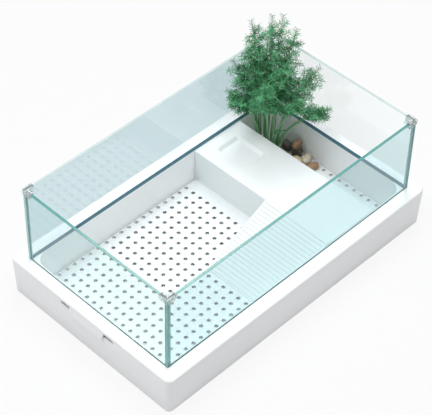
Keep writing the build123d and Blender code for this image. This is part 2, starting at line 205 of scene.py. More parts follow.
class Patterns:
    """The shader groups shared by the finishes."""

    def __init__(self) -> None:
        """Build every group once."""
        self.moulding = self._moulding()
        self.drift = self._drift()
        self.pitting = self._pitting()

    def _moulding(self) -> bpy.types.NodeTree:
        """Fine grain of a moulded surface with slow changes of gloss."""
        group = Pattern(
            "moulded_surface",
            {"Grain Scale": 900.0, "Gloss Scale": 14.0, "Roughness": 0.35, "Gloss Drift": 0.06},
            {"Roughness": "NodeSocketFloat", "Height": "NodeSocketFloat"},
        )
        grain = group.noise(group.values["Grain Scale"], 2.0)
        slow = group.noise(group.values["Gloss Scale"], 3.0)
        swing = group.math("MULTIPLY", group.math("SUBTRACT", slow, 0.5), group.values["Gloss Drift"])
        rough = group.math("ADD", group.values["Roughness"], swing, clamp=True)
        return group.close({"Roughness": rough, "Height": grain})

    def _drift(self) -> bpy.types.NodeTree:
        """Slow drift of a colour towards a second one, in soft patches."""
        group = Pattern(
            "colour_drift",
            {"Base": (0.8, 0.8, 0.8), "Drift": (0.7, 0.7, 0.7), "Scale": 9.0, "Amount": 0.5},
            {"Color": "NodeSocketColor"},
        )
        cloud = group.ramp(group.noise(group.values["Scale"], 4.0), 0.35, 0.68)
        share = group.math("MULTIPLY", cloud, group.values["Amount"])
        return group.close({"Color": group.mix(share, group.values["Base"], group.values["Drift"])})

    def _pitting(self) -> bpy.types.NodeTree:
        """Pits and soft lumps of a weathered or cast surface."""
        group = Pattern(
            "pitted_surface",
            {"Pit Scale": 420.0, "Lump Scale": 90.0, "Pit Share": 0.4},
            {"Height": "NodeSocketFloat"},
        )
        scale = group.values["Pit Scale"]
        pits = group.add("ShaderNodeTexVoronoi", {"Vector": group.place, "Scale": scale})
        lumps = group.noise(group.values["Lump Scale"], 5.0)
        share = group.math("MULTIPLY", pits.outputs["Distance"], group.values["Pit Share"])
        return group.close({"Height": group.math("ADD", share, lumps)})


class Paint(Canvas):
    """One material with its output and its surface shader."""

    def __init__(self, name: str) -> None:
        """Start a material with nothing but its output."""
        self.material = bpy.data.materials.new(name)
        self.material.use_nodes = True
        super().__init__(self.material.node_tree)
        self.tree.nodes.clear()
        self.output = self.add("ShaderNodeOutputMaterial")

    def group(self, tree: bpy.types.NodeTree, feeds: dict[str, object]) -> Node:
        """Place a shared group with its own values."""
        node = self.add("ShaderNodeGroup", node_tree=tree)
        for name, value in feeds.items():
            colour = isinstance(value, tuple) and len(value) == 3
            node.inputs[name].default_value = (*value, 1.0) if colour else value
        return node

    def tint(self, patterns: Patterns, base: Colour, drift: Colour, scale: float, amount: float) -> Socket:
        """A colour that drifts towards a second one."""
        feeds = {"Base": base, "Drift": drift, "Scale": scale, "Amount": amount}
        return self.group(patterns.drift, feeds).outputs["Color"]

    def show(self, shader: Node) -> Material:
        """Join the surface shader to the output and return the material."""
        self.tree.links.new(shader.outputs[0], self.output.inputs["Surface"])
        return self.material

    def surface(
        self, colour: object, rough: Node, bump: tuple[Node, float, float], extra: dict[str, float]
    ) -> Material:
        """Show a surface with a bump.

        Args:
            colour: Socket or plain value of its colour.
            rough: Placed group that gives its roughness.
            bump: Placed group that gives its height, the bump's strength and its depth in millimetres.
            extra: Other values of the surface.

        Returns:
            The finished material.
        """
        skin, strength, depth = bump
        height = {"Height": skin.outputs["Height"], "Strength": strength, "Distance": depth * MM}
        feeds = {
            "Base Color": colour,
            "Roughness": rough.outputs["Roughness"],
            "Normal": self.add("ShaderNodeBump", height).outputs["Normal"],
            **extra,
        }
        return self.show(self.add("ShaderNodeBsdfPrincipled", feeds))


@dataclass(frozen=True)
class MouldedPlastic:
    """Opaque injection-moulded plastic."""

    name: str
    colour: Colour
    drift: Colour
    roughness: float
    grain_depth: float = 0.02
    grain_scale: float = 900.0

    def make(self, patterns: Patterns) -> Material:
        """Build the material."""
        paint = Paint(self.name)
        skin = paint.group(patterns.moulding, {"Grain Scale": self.grain_scale, "Roughness": self.roughness})
        tint = paint.tint(patterns, self.colour, self.drift, scale=6.0, amount=0.6)
        return paint.surface(tint, skin, (skin, 0.25, self.grain_depth), {"IOR": 1.5})


@dataclass(frozen=True)
class ClearSheet:
    """Clear glass or plastic that lets the lamps through."""

    name: str
    tint: Colour
    roughness: float = 0.0
    ior: float = 1.45
    shadow: Colour = (0.93, 0.97, 0.97)

    def make(self) -> Material:
        """Build the material: refraction for the eye, a plain tint for the lamps."""
        paint = Paint(self.name)
        feeds = {"Base Color": (*self.tint, 1.0), "Roughness": self.roughness, "IOR": self.ior}
        glass = paint.add("ShaderNodeBsdfPrincipled", {**feeds, "Transmission Weight": 1.0})
        window = paint.add("ShaderNodeBsdfTransparent", {"Color": (*self.shadow, 1.0)})
        lamps = paint.add("ShaderNodeLightPath").outputs["Is Shadow Ray"]
        return paint.show(paint.blend(lamps, glass, window))


@dataclass(frozen=True)
class MilkySolid:
    """Silicone or cloudy plastic, which lets some light through and scatters the rest."""

    name: str
    colour: Colour
    clear_share: float = 0.45
    roughness: float = 0.4

    def make(self, patterns: Patterns) -> Material:
        """Build the material."""
        paint = Paint(self.name)
        feeds = {"Grain Scale": 400.0, "Gloss Scale": 40.0, "Roughness": self.roughness}
        skin = paint.group(patterns.moulding, feeds)
        extra = {"IOR": 1.41, "Transmission Weight": self.clear_share}
        return paint.surface((*self.colour, 1.0), skin, (skin, 0.3, 0.05), extra)


@dataclass(frozen=True)
class GroundEdge:
    """Ground and polished edge of float glass, where its green shows."""

    name: str
    colour: Colour
    deep: Colour

    def make(self, patterns: Patterns) -> Material:
        """Build the material."""
        paint = Paint(self.name)
        tint = paint.tint(patterns, self.colour, self.deep, scale=38.0, amount=0.8)
        feeds = {"Grain Scale": 1500.0, "Gloss Scale": 120.0, "Roughness": 0.18}
        skin = paint.group(patterns.moulding, feeds)
        extra = {"IOR": 1.5, "Coat Weight": 0.2, "Coat Roughness": 0.05}
        return paint.surface(tint, skin, (skin, 0.2, 0.02), extra)


@dataclass(frozen=True)
class SoftLeaf:
    """Soft plastic needles or stems, each needle with its own shade of green."""

    name: str
    dark: Colour
    light: Colour
    roughness: float = 0.5

    def make(self, patterns: Patterns) -> Material:
        """Build the material; the needles carry their shade as an attribute."""
        paint = Paint(self.name)
        own = paint.add("ShaderNodeAttribute", attribute_name="shade").outputs["Fac"]
        green = paint.mix(own, (*self.dark, 1.0), (*self.light, 1.0))
        skin = paint.group(patterns.moulding, {"Grain Scale": 700.0, "Roughness": self.roughness})
        return paint.surface(green, skin, (skin, 0.3, 0.05), {"Specular IOR Level": 0.3})


@dataclass(frozen=True)
class WornStone:
    """Tumbled river stone or cast resin, with veins and pits."""

    name: str
    colour: Colour
    vein: Colour
    roughness: float = 0.55
    pit_depth: float = 0.25

    def make(self, patterns: Patterns) -> Material:
        """Build the material."""
        paint = Paint(self.name)
        tint = paint.tint(patterns, self.colour, self.vein, scale=70.0, amount=0.9)
        skin = paint.group(patterns.pitting, {"Pit Scale": 500.0, "Lump Scale": 160.0})
        feeds = {"Gloss Scale": 60.0, "Roughness": self.roughness, "Gloss Drift": 0.3}
        rough = paint.group(patterns.moulding, feeds)
        return paint.surface(tint, rough, (skin, 0.5, self.pit_depth), {})


WHITE_BASE = MouldedPlastic("white_base", (0.89, 0.895, 0.90), (0.86, 0.865, 0.875), 0.32)
WHITE_INSERT = MouldedPlastic("white_insert", (0.80, 0.835, 0.842), (0.77, 0.81, 0.82), 0.46, 0.035)
FOOT_RUBBER = MouldedPlastic("foot_rubber", (0.035, 0.035, 0.037), (0.05, 0.05, 0.052), 0.75, 0.06, 1300.0)
# One float glass in four tinted copies: the tint is painted shade, strongest on the front pane, lighter on
# the left, faint on the back and right panes.
PANE_FRONT = ClearSheet("pane_front", (0.66, 0.815, 0.83))
PANE_LEFT = ClearSheet("pane_left", (0.79, 0.895, 0.90))
PANE_BACK = ClearSheet("pane_back", (0.90, 0.95, 0.96))
PANE_RIGHT = ClearSheet("pane_right", (0.95, 0.98, 0.98))
CLIP_CLEAR = MilkySolid("clip_plastic", (0.88, 0.96, 0.955), 0.75, 0.08)
JOINT_CLEAR = MilkySolid("joint_silicone", (0.46, 0.74, 0.72), 0.25)
# The bed is real silicone; its opaque grey is painted shade, for the thin shadow line along the foot of the
# glass.
BED_SILICONE = MilkySolid("bed_silicone", (0.42, 0.5, 0.5), 0.0, 0.5)
# Painted shade: a dark strip at the foot of the far panes, standing in for their bottom edge seen through
# the glass.
PAINTED_FOOT_SHADE = MilkySolid("seam_silicone", (0.075, 0.19, 0.25), 0.0, 0.35)
# One ground glass edge in four colours: the upright edges are painted lighter than the level ones and the
# far back and right edges paler, as painted light; the near level edges keep the glass's own green.
PANE_EDGE = GroundEdge("pane_edge", (0.085, 0.33, 0.30), (0.055, 0.25, 0.235))
PANE_UPRIGHT = GroundEdge("pane_upright", (0.13, 0.43, 0.40), (0.19, 0.52, 0.49))
FAR_EDGE = GroundEdge("pane_edge_far", (0.49, 0.60, 0.60), (0.58, 0.68, 0.68))
FAR_UPRIGHT = GroundEdge("pane_upright_far", (0.36, 0.62, 0.62), (0.46, 0.7, 0.7))
NEEDLE = SoftLeaf("fern_needle", (0.001, 0.05, 0.008), (0.17, 0.60, 0.29), 0.62)
STEM = SoftLeaf("fern_stem", (0.10, 0.31, 0.11), (0.48, 0.7, 0.47), 0.45)
ROOT_RESIN = WornStone("root_resin", (0.02, 0.026, 0.018), (0.07, 0.055, 0.035), 0.7, 0.6)
STONES = (
    WornStone("stone_beige", (0.5, 0.39, 0.24), (0.36, 0.26, 0.15)),
    WornStone("stone_dark", (0.05, 0.042, 0.035), (0.13, 0.1, 0.07)),
    WornStone("stone_brown", (0.25, 0.145, 0.075), (0.12, 0.07, 0.04)),
    WornStone("stone_amber", (0.36, 0.215, 0.115), (0.24, 0.135, 0.075)),
    WornStone("stone_pale", (0.66, 0.6, 0.48), (0.5, 0.42, 0.3)),
)


def link_object(name: str, mesh: bpy.types.Mesh) -> Item:
    """Put a mesh in the scene under a name, at the origin."""
    piece = bpy.data.objects.new(name, mesh)
    bpy.context.scene.collection.objects.link(piece)
    return piece


def mesh_object(name: str, shape: bmesh.types.BMesh) -> Item:
    """Turn an edit mesh, which is used up, into a piece."""
    mesh = bpy.data.meshes.new(name)
    shape.to_mesh(mesh)
    shape.free()
    return link_object(name, mesh)


def close_up(mesh: bpy.types.Mesh, merge: float = 0.0) -> None:
    """Merge a mesh's points within a distance in metres and turn its faces outwards."""
    shape = bmesh.new()
    shape.from_mesh(mesh)
    if merge > 0.0:
        bmesh.ops.remove_doubles(shape, verts=shape.verts, dist=merge)
    bmesh.ops.recalc_face_normals(shape, faces=shape.faces)
    shape.to_mesh(mesh)
    shape.free()


def smooth(piece: Item, angle: float) -> None:
    """Shade a piece smooth, with its edges past an angle in degrees kept sharp."""
    piece.data.shade_smooth()
    piece.data.set_sharp_from_angle(angle=math.radians(angle))


def plain(piece: Item) -> Item:
    """Turn a piece and its modifiers into a plain mesh with merged points and outward faces.

    Args:
        piece: The object whose modifiers are used up.

    Returns:
        A new object of the same name.
    """
    graph = bpy.context.evaluated_depsgraph_get()
    mesh = bpy.data.meshes.new_from_object(
        piece.evaluated_get(graph), preserve_all_data_layers=True, depsgraph=graph
    )
    name = piece.name
    bpy.data.objects.remove(piece)
    close_up(mesh, 0.000002)
    mesh.name = name
    return link_object(name, mesh)


def seat(piece: Item, body: str, nodes: Iterable[str] = (), note: str = "") -> None:
    """Give a finished piece its body and the CAD nodes it stands for, and log it."""
    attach(piece, body)
    if nodes:
        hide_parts(*nodes)
    LOG.info("%s rides on %s, %d faces %s", piece.name, body, len(piece.data.polygons), note)


def closed_mesh(name: str, points: Sequence[Point], faces: Sequence[tuple[int, ...]]) -> Item:
    """An object from points in metres and faces, with its faces turned outwards."""
    mesh = bpy.data.meshes.new(name)
    mesh.from_pydata(points, [], faces)
    close_up(mesh)
    return link_object(name, mesh)


def prism_faces(count: int) -> list[tuple[int, ...]]:
    """Faces of a solid between two rings of as many points, one after the other."""
    walls = [(i, (i + 1) % count, count + (i + 1) % count, count + i) for i in range(count)]
    return walls + [tuple(reversed(range(count))), tuple(range(count, 2 * count))]


def block(name: str, low: Sequence[Point], high: Sequence[Point]) -> Item:
    """A six-sided solid from the corners of its bottom and its top, in millimetres and in order."""
    points = [tuple(v * MM for v in corner) for corner in (*low, *high)]
    return closed_mesh(name, points, prism_faces(4))


def upright_block(name: str, x: Range, y: Range, z: Range) -> Item:
    """A box from its limits in millimetres."""
    ring = [(x[0], y[0]), (x[1], y[0]), (x[1], y[1]), (x[0], y[1])]
    return block(name, [(*p, z[0]) for p in ring], [(*p, z[1]) for p in ring])


def add_cylinder(shape: bmesh.types.BMesh, middle: Vector, radius: float, height: float, sides: int) -> None:
    """Add an upright closed cylinder, in metres, to an edit mesh."""
    bmesh.ops.create_cone(
        shape,
        cap_ends=True,
        segments=sides,
        radius1=radius,
        radius2=radius,
        depth=height,
        matrix=Matrix.Translation(middle),
    )


def boxy(way: Vector, power: float) -> float:
    """How far the surface of a boxy ball is from its middle in a direction."""
    return 1.0 / (abs(way.x) ** power + abs(way.y) ** power + abs(way.z) ** power) ** (1 / power)


def rounded(piece: Item, width: float, segments: int = 3, angle: float = 30.0) -> Item:
    """Round a piece's sharp edges with a Bevel, turned into plain mesh and shaded smooth."""
    bevel = piece.modifiers.new("round_edges", "BEVEL")
    bevel.width = width * MM
    bevel.segments = segments
    bevel.limit_method = "ANGLE"
    bevel.angle_limit = math.radians(angle)
    bevel.use_clamp_overlap = True
    piece = plain(piece)
    smooth(piece, 40.0)
    return piece


def soft_copy(node: Item, name: str, width: float) -> Item:
    """Copy a CAD node, merge its loose triangles into clean faces and round its edges."""
    shape = bmesh.new()
    shape.from_mesh(node.data)
    bmesh.ops.remove_doubles(shape, verts=shape.verts, dist=0.00001)
    bmesh.ops.dissolve_limit(
        shape,
        angle_limit=math.radians(0.6),
        verts=shape.verts,
        edges=shape.edges,
        use_dissolve_boundaries=False,
    )
    copy = mesh_object(name, shape)
    for layer in ("custom_normal", "sharp_face", "sharp_edge"):
        if layer in copy.data.attributes:
            copy.data.attributes.remove(copy.data.attributes[layer])
    copy.data.materials.clear()
    return rounded(copy, width, 2, 38.0)


@dataclass(frozen=True)
class PhotoCamera:
    """Camera fitted to the corners of the glass and the base in the photograph."""

    azimuth: float = 46.33
    elevation: float = 44.97
    roll: float = 1.48
    distance: float = 2.84348
    target: Point = (0.07096, 0.08331, 0.0)
    lens: float = 137.76

    def build(self) -> None:
        """Create the camera and make it the scene's."""
        azimuth, elevation, roll = (math.radians(a) for a in (self.azimuth, self.elevation, self.roll))
        level = Vector((math.cos(azimuth), -math.sin(azimuth), 0.0))
        flat = math.cos(elevation)
        ahead = Vector((math.sin(azimuth) * flat, math.cos(azimuth) * flat, -math.sin(elevation)))
        above = level.cross(ahead)
        right = math.cos(roll) * level + math.sin(roll) * above
        up = -math.sin(roll) * level + math.cos(roll) * above
        data = bpy.data.cameras.new("photo_camera")
        data.lens = self.lens
        data.sensor_width = 36.0
        data.clip_end = 50.0
        camera = bpy.data.objects.new("photo_camera", data)
        bpy.context.scene.collection.objects.link(camera)
        frame = Matrix((right, up, -ahead)).transposed().to_4x4()
        frame.translation = Vector(self.target) - self.distance * ahead
        camera.matrix_world = frame
        bpy.context.scene.camera = camera


@dataclass(frozen=True)
class Lamp:
    """A square soft lamp that looks at the object."""

    name: str
    place: Point
    size: float
    power: float
    target: Point = (0.0, 0.0, 0.08)

    def build(self) -> None:
        """Create the lamp."""
        data = bpy.data.lights.new(self.name, "AREA")
        data.shape = "SQUARE"
        data.size = self.size
        data.energy = self.power
        lamp = bpy.data.objects.new(self.name, data)
        bpy.context.scene.collection.objects.link(lamp)
        lamp.location = self.place
        way = Vector(self.target) - Vector(self.place)
        lamp.rotation_euler = way.to_track_quat("-Z", "Y").to_euler()


@dataclass(frozen=True)
class Studio:
    """Plain floor, sky light and three soft lamps."""

    floor_size: float = 12.0
    floor_colour: Colour = (0.7, 0.7, 0.7)
    glow_share: float = 0.85
    # Painted shade: the floor behind the tank is darker and bluer, seen only through the glass.
    behind: Colour = (0.62, 0.745, 0.775)
    behind_x: Range = (0.46, 0.34)
    behind_y: Range = (0.17, 0.19)
    sky: float = 0.5
    sky_colour: Colour = (0.97, 0.985, 1.0)
    lamps: tuple[Lamp, ...] = (
        Lamp("key_lamp", (-1.43, 0.41, 3.06), 1.6, 43.0),
        Lamp("fill_lamp", (0.3, -0.75, 3.2), 1.3, 25.0),
        Lamp("back_lamp", (1.3, 1.2, 3.0), 1.1, 27.0),
    )

    def build(self) -> None:
        """Build the floor, the world and the lamps."""
        half = self.floor_size / 2
        corners = [(-half, -half, 0), (half, -half, 0), (half, half, 0), (-half, half, 0)]
        mesh = bpy.data.meshes.new("studio_floor")
        mesh.from_pydata(corners, [], [(0, 1, 2, 3)])
        floor = link_object("studio_floor", mesh)
        mesh.materials.append(self._floor_material())
        self._world()
        for lamp in self.lamps:
            lamp.build()
        bpy.context.scene.view_settings.view_transform = "Standard"

    def _seen_directly(self, paint: Canvas) -> Socket:
        """1 for what the eye, a mirror or a window sees of the backdrop."""
        rays = paint.add("ShaderNodeLightPath").outputs
        some = paint.math("MAXIMUM", rays["Is Camera Ray"], rays["Is Glossy Ray"])
        return paint.math("MAXIMUM", some, rays["Is Transmission Ray"])

    def _floor_material(self) -> Material:
        """White paper that keeps part of the shadow; behind the tank, where it is seen through glass, it
        carries a painted bluish shade.
        """
        paint = Paint("studio_paper")
        paper = paint.add("ShaderNodeBsdfDiffuse", {"Color": (*self.floor_colour, 1.0)})
        spot = paint.add("ShaderNodeTexCoord").outputs["Object"]
        place = paint.add("ShaderNodeSeparateXYZ", {0: spot}).outputs
        behind = paint.ramp(place["Y"], *self.behind_y)
        beside = paint.ramp(place["X"], *self.behind_x)
        glass = paint.add("ShaderNodeLightPath").outputs["Is Transmission Ray"]
        # Painted shade on the floor behind the tank, for rays through the glass only.
        through = paint.math("MULTIPLY", paint.math("MULTIPLY", behind, beside), glass)
        tone = paint.mix(through, WHITE, (*self.behind, 1.0))
        glow = paint.add("ShaderNodeEmission", {"Color": tone, "Strength": 1.0})
        share = paint.math("MULTIPLY", self._seen_directly(paint), self.glow_share)
        return paint.show(paint.blend(share, paper, glow))

    def _world(self) -> None:
        """Even sky, white where it is looked at."""
        world = bpy.data.worlds.new("studio_sky")
        world.use_nodes = True
        bpy.context.scene.world = world
        canvas = Canvas(world.node_tree)
        canvas.tree.nodes.clear()
        seen = self._seen_directly(canvas)
        feeds = {"Color": (*self.sky_colour, 1.0), "Strength": self.sky}
        sky = canvas.add("ShaderNodeBackground", feeds)
        white = canvas.add("ShaderNodeBackground", {"Color": WHITE, "Strength": 1.0})
        mix = canvas.blend(seen, sky, white)
        canvas.add("ShaderNodeOutputWorld", {"Surface": mix.outputs[0]})


@dataclass(frozen=True)
class MouldedBase:
    """White base with its rubber feet."""

    edge_round: float = 0.6
    foot_round: float = 0.5
    foot_sides: int = 48

    def build(self, nodes: dict[str, Item], patterns: Patterns) -> None:
        """Dress the base and the feet."""
        base = soft_copy(nodes["base_tub"], "white_base", self.edge_round)
        base.data.materials.append(WHITE_BASE.make(patterns))
        seat(base, Body.TANK.value, ["base_tub"])
        rubber = FOOT_RUBBER.make(patterns)
        for node in sorted(n for n in nodes if n.startswith("foot_")):
            foot = self._pad("rubber_" + node, *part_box(node))
            foot.data.materials.append(rubber)
            seat(foot, Body.TANK.value, [node])

    def _pad(self, name: str, low: Vector, high: Vector) -> Item:
        """A round pad that fills a foot's box."""
        shape = bmesh.new()
        add_cylinder(shape, (low + high) / 2, (high.x - low.x) / 2, high.z - low.z, self.foot_sides)
        return rounded(mesh_object(name, shape), self.foot_round)


@dataclass(frozen=True)
class GlassBox:
    """Four panes with ground edges, their silicone, a painted shade strip at the foot of the far panes and
    the four corner clips.
    """

    length: float = 560.0
    width: float = 320.0
    thickness: float = 5.0
    bottom: float = 76.0
    top: float = 228.0
    joint: float = 0.5
    arris: float = 0.5
    rim: float = 77.0
    seam_width: float = 1.9
    seam_height: float = 6.5
    bead_width: float = 3.0
    bead_top: float = 219.0
    hair: float = 0.06
    clip_round: float = 0.35
    large_face_mm2: float = 15200.0

    def build(self, nodes: dict[str, Item], patterns: Patterns) -> None:
        """Build the panes and dress the silicone and the clips."""
        self._panes(patterns)
        # Painted shade strip along the foot of the back and right panes.
        seam = self._seam()
        seam.data.materials.append(PAINTED_FOOT_SHADE.make(patterns))
        seat(seam, Body.TANK.value)
        silicone = JOINT_CLEAR.make(patterns)
        for name, side_x, side_y in CORNERS:
            bead = self._bead("joint_" + name, side_x, side_y)
            bead.data.materials.append(silicone)
            seat(bead, Body.TANK.value, ["bead_" + name])
        # Silicone bed in painted shade grey, for the shadow line along the foot of the glass.
        nodes["glass_bed"].data.materials.clear()
        nodes["glass_bed"].data.materials.append(BED_SILICONE.make(patterns))
        clear = CLIP_CLEAR.make(patterns)
        for node in sorted(n for n in nodes if n.startswith("clip_")):
            clip = soft_copy(nodes[node], "clear_" + node, self.clip_round)
            clip.data.materials.append(clear)
            seat(clip, node, [node])

    def _panes(self, patterns: Patterns) -> None:
        """The panes: front and back run the full length, the end panes stand between them."""
        # The near panes take the darker glass and edge copies and the far panes the paler ones: painted
        # shade and painted light on one glass.
        near = (PANE_EDGE.make(patterns), PANE_UPRIGHT.make(patterns))
        far = (FAR_EDGE.make(patterns), FAR_UPRIGHT.make(patterns))
        half_x = self.length / 2
        half_y = self.width / 2
        end_y = half_y - self.thickness - self.joint
        panes = (
            ("glass_front", PANE_FRONT, near, (-half_x, half_x), (-half_y, -half_y + self.thickness)),
            ("glass_back", PANE_BACK, far, (-half_x, half_x), (half_y - self.thickness, half_y)),
            ("glass_left", PANE_LEFT, near, (-half_x, -half_x + self.thickness), (-end_y, end_y)),
            ("glass_right", PANE_RIGHT, far, (half_x - self.thickness, half_x), (-end_y, end_y)),
        )
        for node, finish, edges, x_range, y_range in panes:
            pane = self._pane("pane_" + node, x_range, y_range)
            for material in (finish.make(), *edges):
                pane.data.materials.append(material)
            seat(pane, Body.TANK.value, [node])

    def _pane(self, name: str, x_range: Range, y_range: Range) -> Item:
        """One pane: large faces in the first slot, level edges in the second, upright in the third."""
        pane = upright_block(name, x_range, y_range, (self.bottom, self.top))
        bevel = pane.modifiers.new("arris", "BEVEL")
        bevel.width = self.arris * MM
        bevel.segments = 1
        pane = plain(pane)
        for face in pane.data.polygons:
            if face.area <= self.large_face_mm2 * MM * MM:
                face.material_index = 1 if abs(face.normal.z) > 0.5 else 2
        return pane

    def _bead(self, name: str, side_x: int, side_y: int) -> Item:
        """Silicone of one upright joint, with its fillet in the inner corner."""
        out_x = self.length / 2 - self.hair
        in_x = self.length / 2 - self.thickness
        in_y = self.width / 2 - self.thickness
        outline = (
            (out_x, in_y - self.hair),
            (in_x - self.bead_width, in_y - self.hair),
            (in_x - self.hair, in_y - self.bead_width),
            (in_x - self.hair, in_y - self.joint + self.hair),
            (out_x, in_y - self.joint + self.hair),
        )
        heights = (self.rim + self.hair, self.bead_top)
        points = [(side_x * x * MM, side_y * y * MM, z * MM) for z in heights for x, y in outline]
        return closed_mesh(name, points, prism_faces(len(outline)))

    def _seam(self) -> Item:
        """A dark strip along the foot of the back and right panes, mitred at their corner: painted shade
        standing in for their bottom edge seen through the glass.
        """
        out_x = self.length / 2 - self.thickness - self.hair
        out_y = self.width / 2 - self.thickness - self.hair
        points = []
        for side_x, side_y in ((-1, 1), (1, 1), (1, -1)):
            for inset, height in ((0.0, 0.0), (0.0, self.seam_height), (self.seam_width, 0.0)):
                place = (side_x * (out_x - inset), side_y * (out_y - inset), self.rim + self.hair + height)
                points.append([v * MM for v in place])
        faces = [(2, 1, 0), (6, 7, 8)]
        for here, there in ((0, 3), (3, 6)):
            for edge in range(3):
                after = (edge + 1) % 3
                faces.append((here + edge, there + edge, there + after, here + after))
        return closed_mesh("seam_silicone", points, faces)


class ShapeTree(Canvas):
    """A Geometry Nodes tree with named inputs."""

    def __init__(self, name: str, inputs: dict[str, str]) -> None:
        """Start a tree.

        Args:
            name: Name of the tree.
            inputs: Input name to the last part of its socket type.
        """
        super().__init__(bpy.data.node_groups.new(name, "GeometryNodeTree"))
        face = self.tree.interface
        face.new_socket("Geometry", in_out="INPUT", socket_type="NodeSocketGeometry")
        self.keys = {
            label: face.new_socket(label, in_out="INPUT", socket_type="NodeSocket" + kind).identifier
            for label, kind in inputs.items()
        }
        face.new_socket("Geometry", in_out="OUTPUT", socket_type="NodeSocketGeometry")
        self.values = self.add("NodeGroupInput").outputs

    def run_on(self, piece: Item, label: str, values: dict[str, object]) -> None:
        """Put the tree on a piece as a modifier, with the values of its inputs."""
        geometry = piece.modifiers.new(label, "NODES")
        geometry.node_group = self.tree
        for name, value in values.items():
            geometry[self.keys[name]] = value

    def joined(self, *parts: Socket) -> Socket:
        """Geometry of several parts, in their order."""
        node = self.add("GeometryNodeJoinGeometry")
        for part in parts:
            self.tree.links.new(part, node.inputs[0])
        return node.outputs[0]

    def copies(self, feeds: dict[str, object]) -> Socket:
        """Plain geometry of a shape repeated on points."""
        placed = self.add("GeometryNodeInstanceOnPoints", feeds)
        return self.add("GeometryNodeRealizeInstances", {"Geometry": placed.outputs[0]}).outputs[0]

    def dressed(self, geometry: Socket, label: str) -> Socket:
        """Geometry in the material of an input."""
        feeds = {"Geometry": geometry, "Material": self.values[label]}
        return self.add("GeometryNodeSetMaterial", feeds).outputs[0]

    def close(self, geometry: Socket) -> None:
        """Join the output."""
        self.add("NodeGroupOutput", {"Geometry": geometry})


class PlateTree(ShapeTree):
    """Geometry Nodes for a flat plate with a chamfered round hole at each point it is given."""

    def __init__(self) -> None:
        """Plate faces from filled curves, joined by a collar for every hole and a rim."""
        sizes = ("Length", "Width", "Corner", "Bottom", "Top", "Hole Radius", "Chamfer")
        super().__init__("perforated_plate", {**dict.fromkeys(sizes, "Float"), "Finish": "Material"})
        values = self.values
        self.wide = self.math("ADD", values["Hole Radius"], values["Chamfer"])
        self.thick = self.math("SUBTRACT", values["Top"], values["Bottom"])
        feeds = {"Resolution": 20, "Radius": self.wide}
        circle = self.add("GeometryNodeCurvePrimitiveCircle", feeds, mode="RADIUS").outputs["Curve"]
        feeds = {"Width": values["Length"], "Height": values["Width"]}
        sheet = self.add("GeometryNodeCurvePrimitiveQuadrilateral", feeds, mode="RECTANGLE").outputs[0]
        feeds = {"Curve": sheet, "Count": 10, "Radius": values["Corner"], "Limit Radius": True}
        outline = self.add("GeometryNodeFilletCurve", feeds, mode="POLY").outputs[0]
        curves = self.joined(self._at_holes(circle), outline)
        filled = self.add("GeometryNodeFillCurve", {"Curve": curves}, mode="TRIANGLES").outputs[0]
        over = self._raised(filled, values["Top"])
        under = self.add("GeometryNodeFlipFaces", {"Mesh": self._raised(filled, values["Bottom"])})
        rim = self._drawn_up(self._standing(outline), True, self.thick)
        collars = self._at_holes(self._collar(circle))
        whole = self.joined(over, under.outputs[0], rim.outputs["Mesh"], collars)
        closed = self.add("GeometryNodeMergeByDistance", {"Geometry": whole, "Distance": 0.00001})
        self.close(self.dressed(closed.outputs[0], "Finish"))

    def _at_holes(self, shape: Socket) -> Socket:
        """A copy of a shape at every hole."""
        return self.copies({"Points": self.values["Geometry"], "Instance": shape})

    def _raised(self, geometry: Socket, height: Socket) -> Socket:
        """Geometry moved straight up."""
        feeds = {"Geometry": geometry, "Translation": self.vector(z=height)}
        return self.add("GeometryNodeTransform", feeds).outputs[0]

    def _standing(self, curve: Socket) -> Socket:
        """The edges of a curve at the height of the plate's bottom."""
        edges = self.add("GeometryNodeCurveToMesh", {"Curve": curve}).outputs[0]
        return self._raised(edges, self.values["Bottom"])

    def _drawn_up(self, mesh: Socket, chosen: object, rise: Socket) -> Node:
        """Chosen edges drawn up into walls."""
        feeds = {"Mesh": mesh, "Selection": chosen, "Offset": self.vector(z=rise), "Offset Scale": 1.0}
        return self.add("GeometryNodeExtrudeMesh", feeds, mode="EDGES")

    def _collar(self, circle: Socket) -> Socket:
        """Wall of one hole: chamfer, straight part, chamfer, drawn up edge ring by edge ring."""
        radius, chamfer = self.values["Hole Radius"], self.values["Chamfer"]
        narrow = self.math("DIVIDE", radius, self.wide)
        widen = self.math("DIVIDE", self.wide, radius)
        straight = self.math("SUBTRACT", self.thick, self.math("MULTIPLY", chamfer, 2.0))
        mesh = self._standing(circle)
        chosen: object = True
        for rise, spread in ((chamfer, narrow), (straight, None), (chamfer, widen)):
            step = self._drawn_up(mesh, chosen, rise)
            mesh, chosen = step.outputs["Mesh"], step.outputs["Top"]
            if spread is not None:
                spot = self.add("GeometryNodeInputPosition").outputs[0]
                place = self.vectors("MULTIPLY", spot, self.vector(spread, spread, 1.0))
                feeds = {"Geometry": mesh, "Selection": chosen, "Position": place}
                mesh = self.add("GeometryNodeSetPosition", feeds).outputs[0]
        return mesh


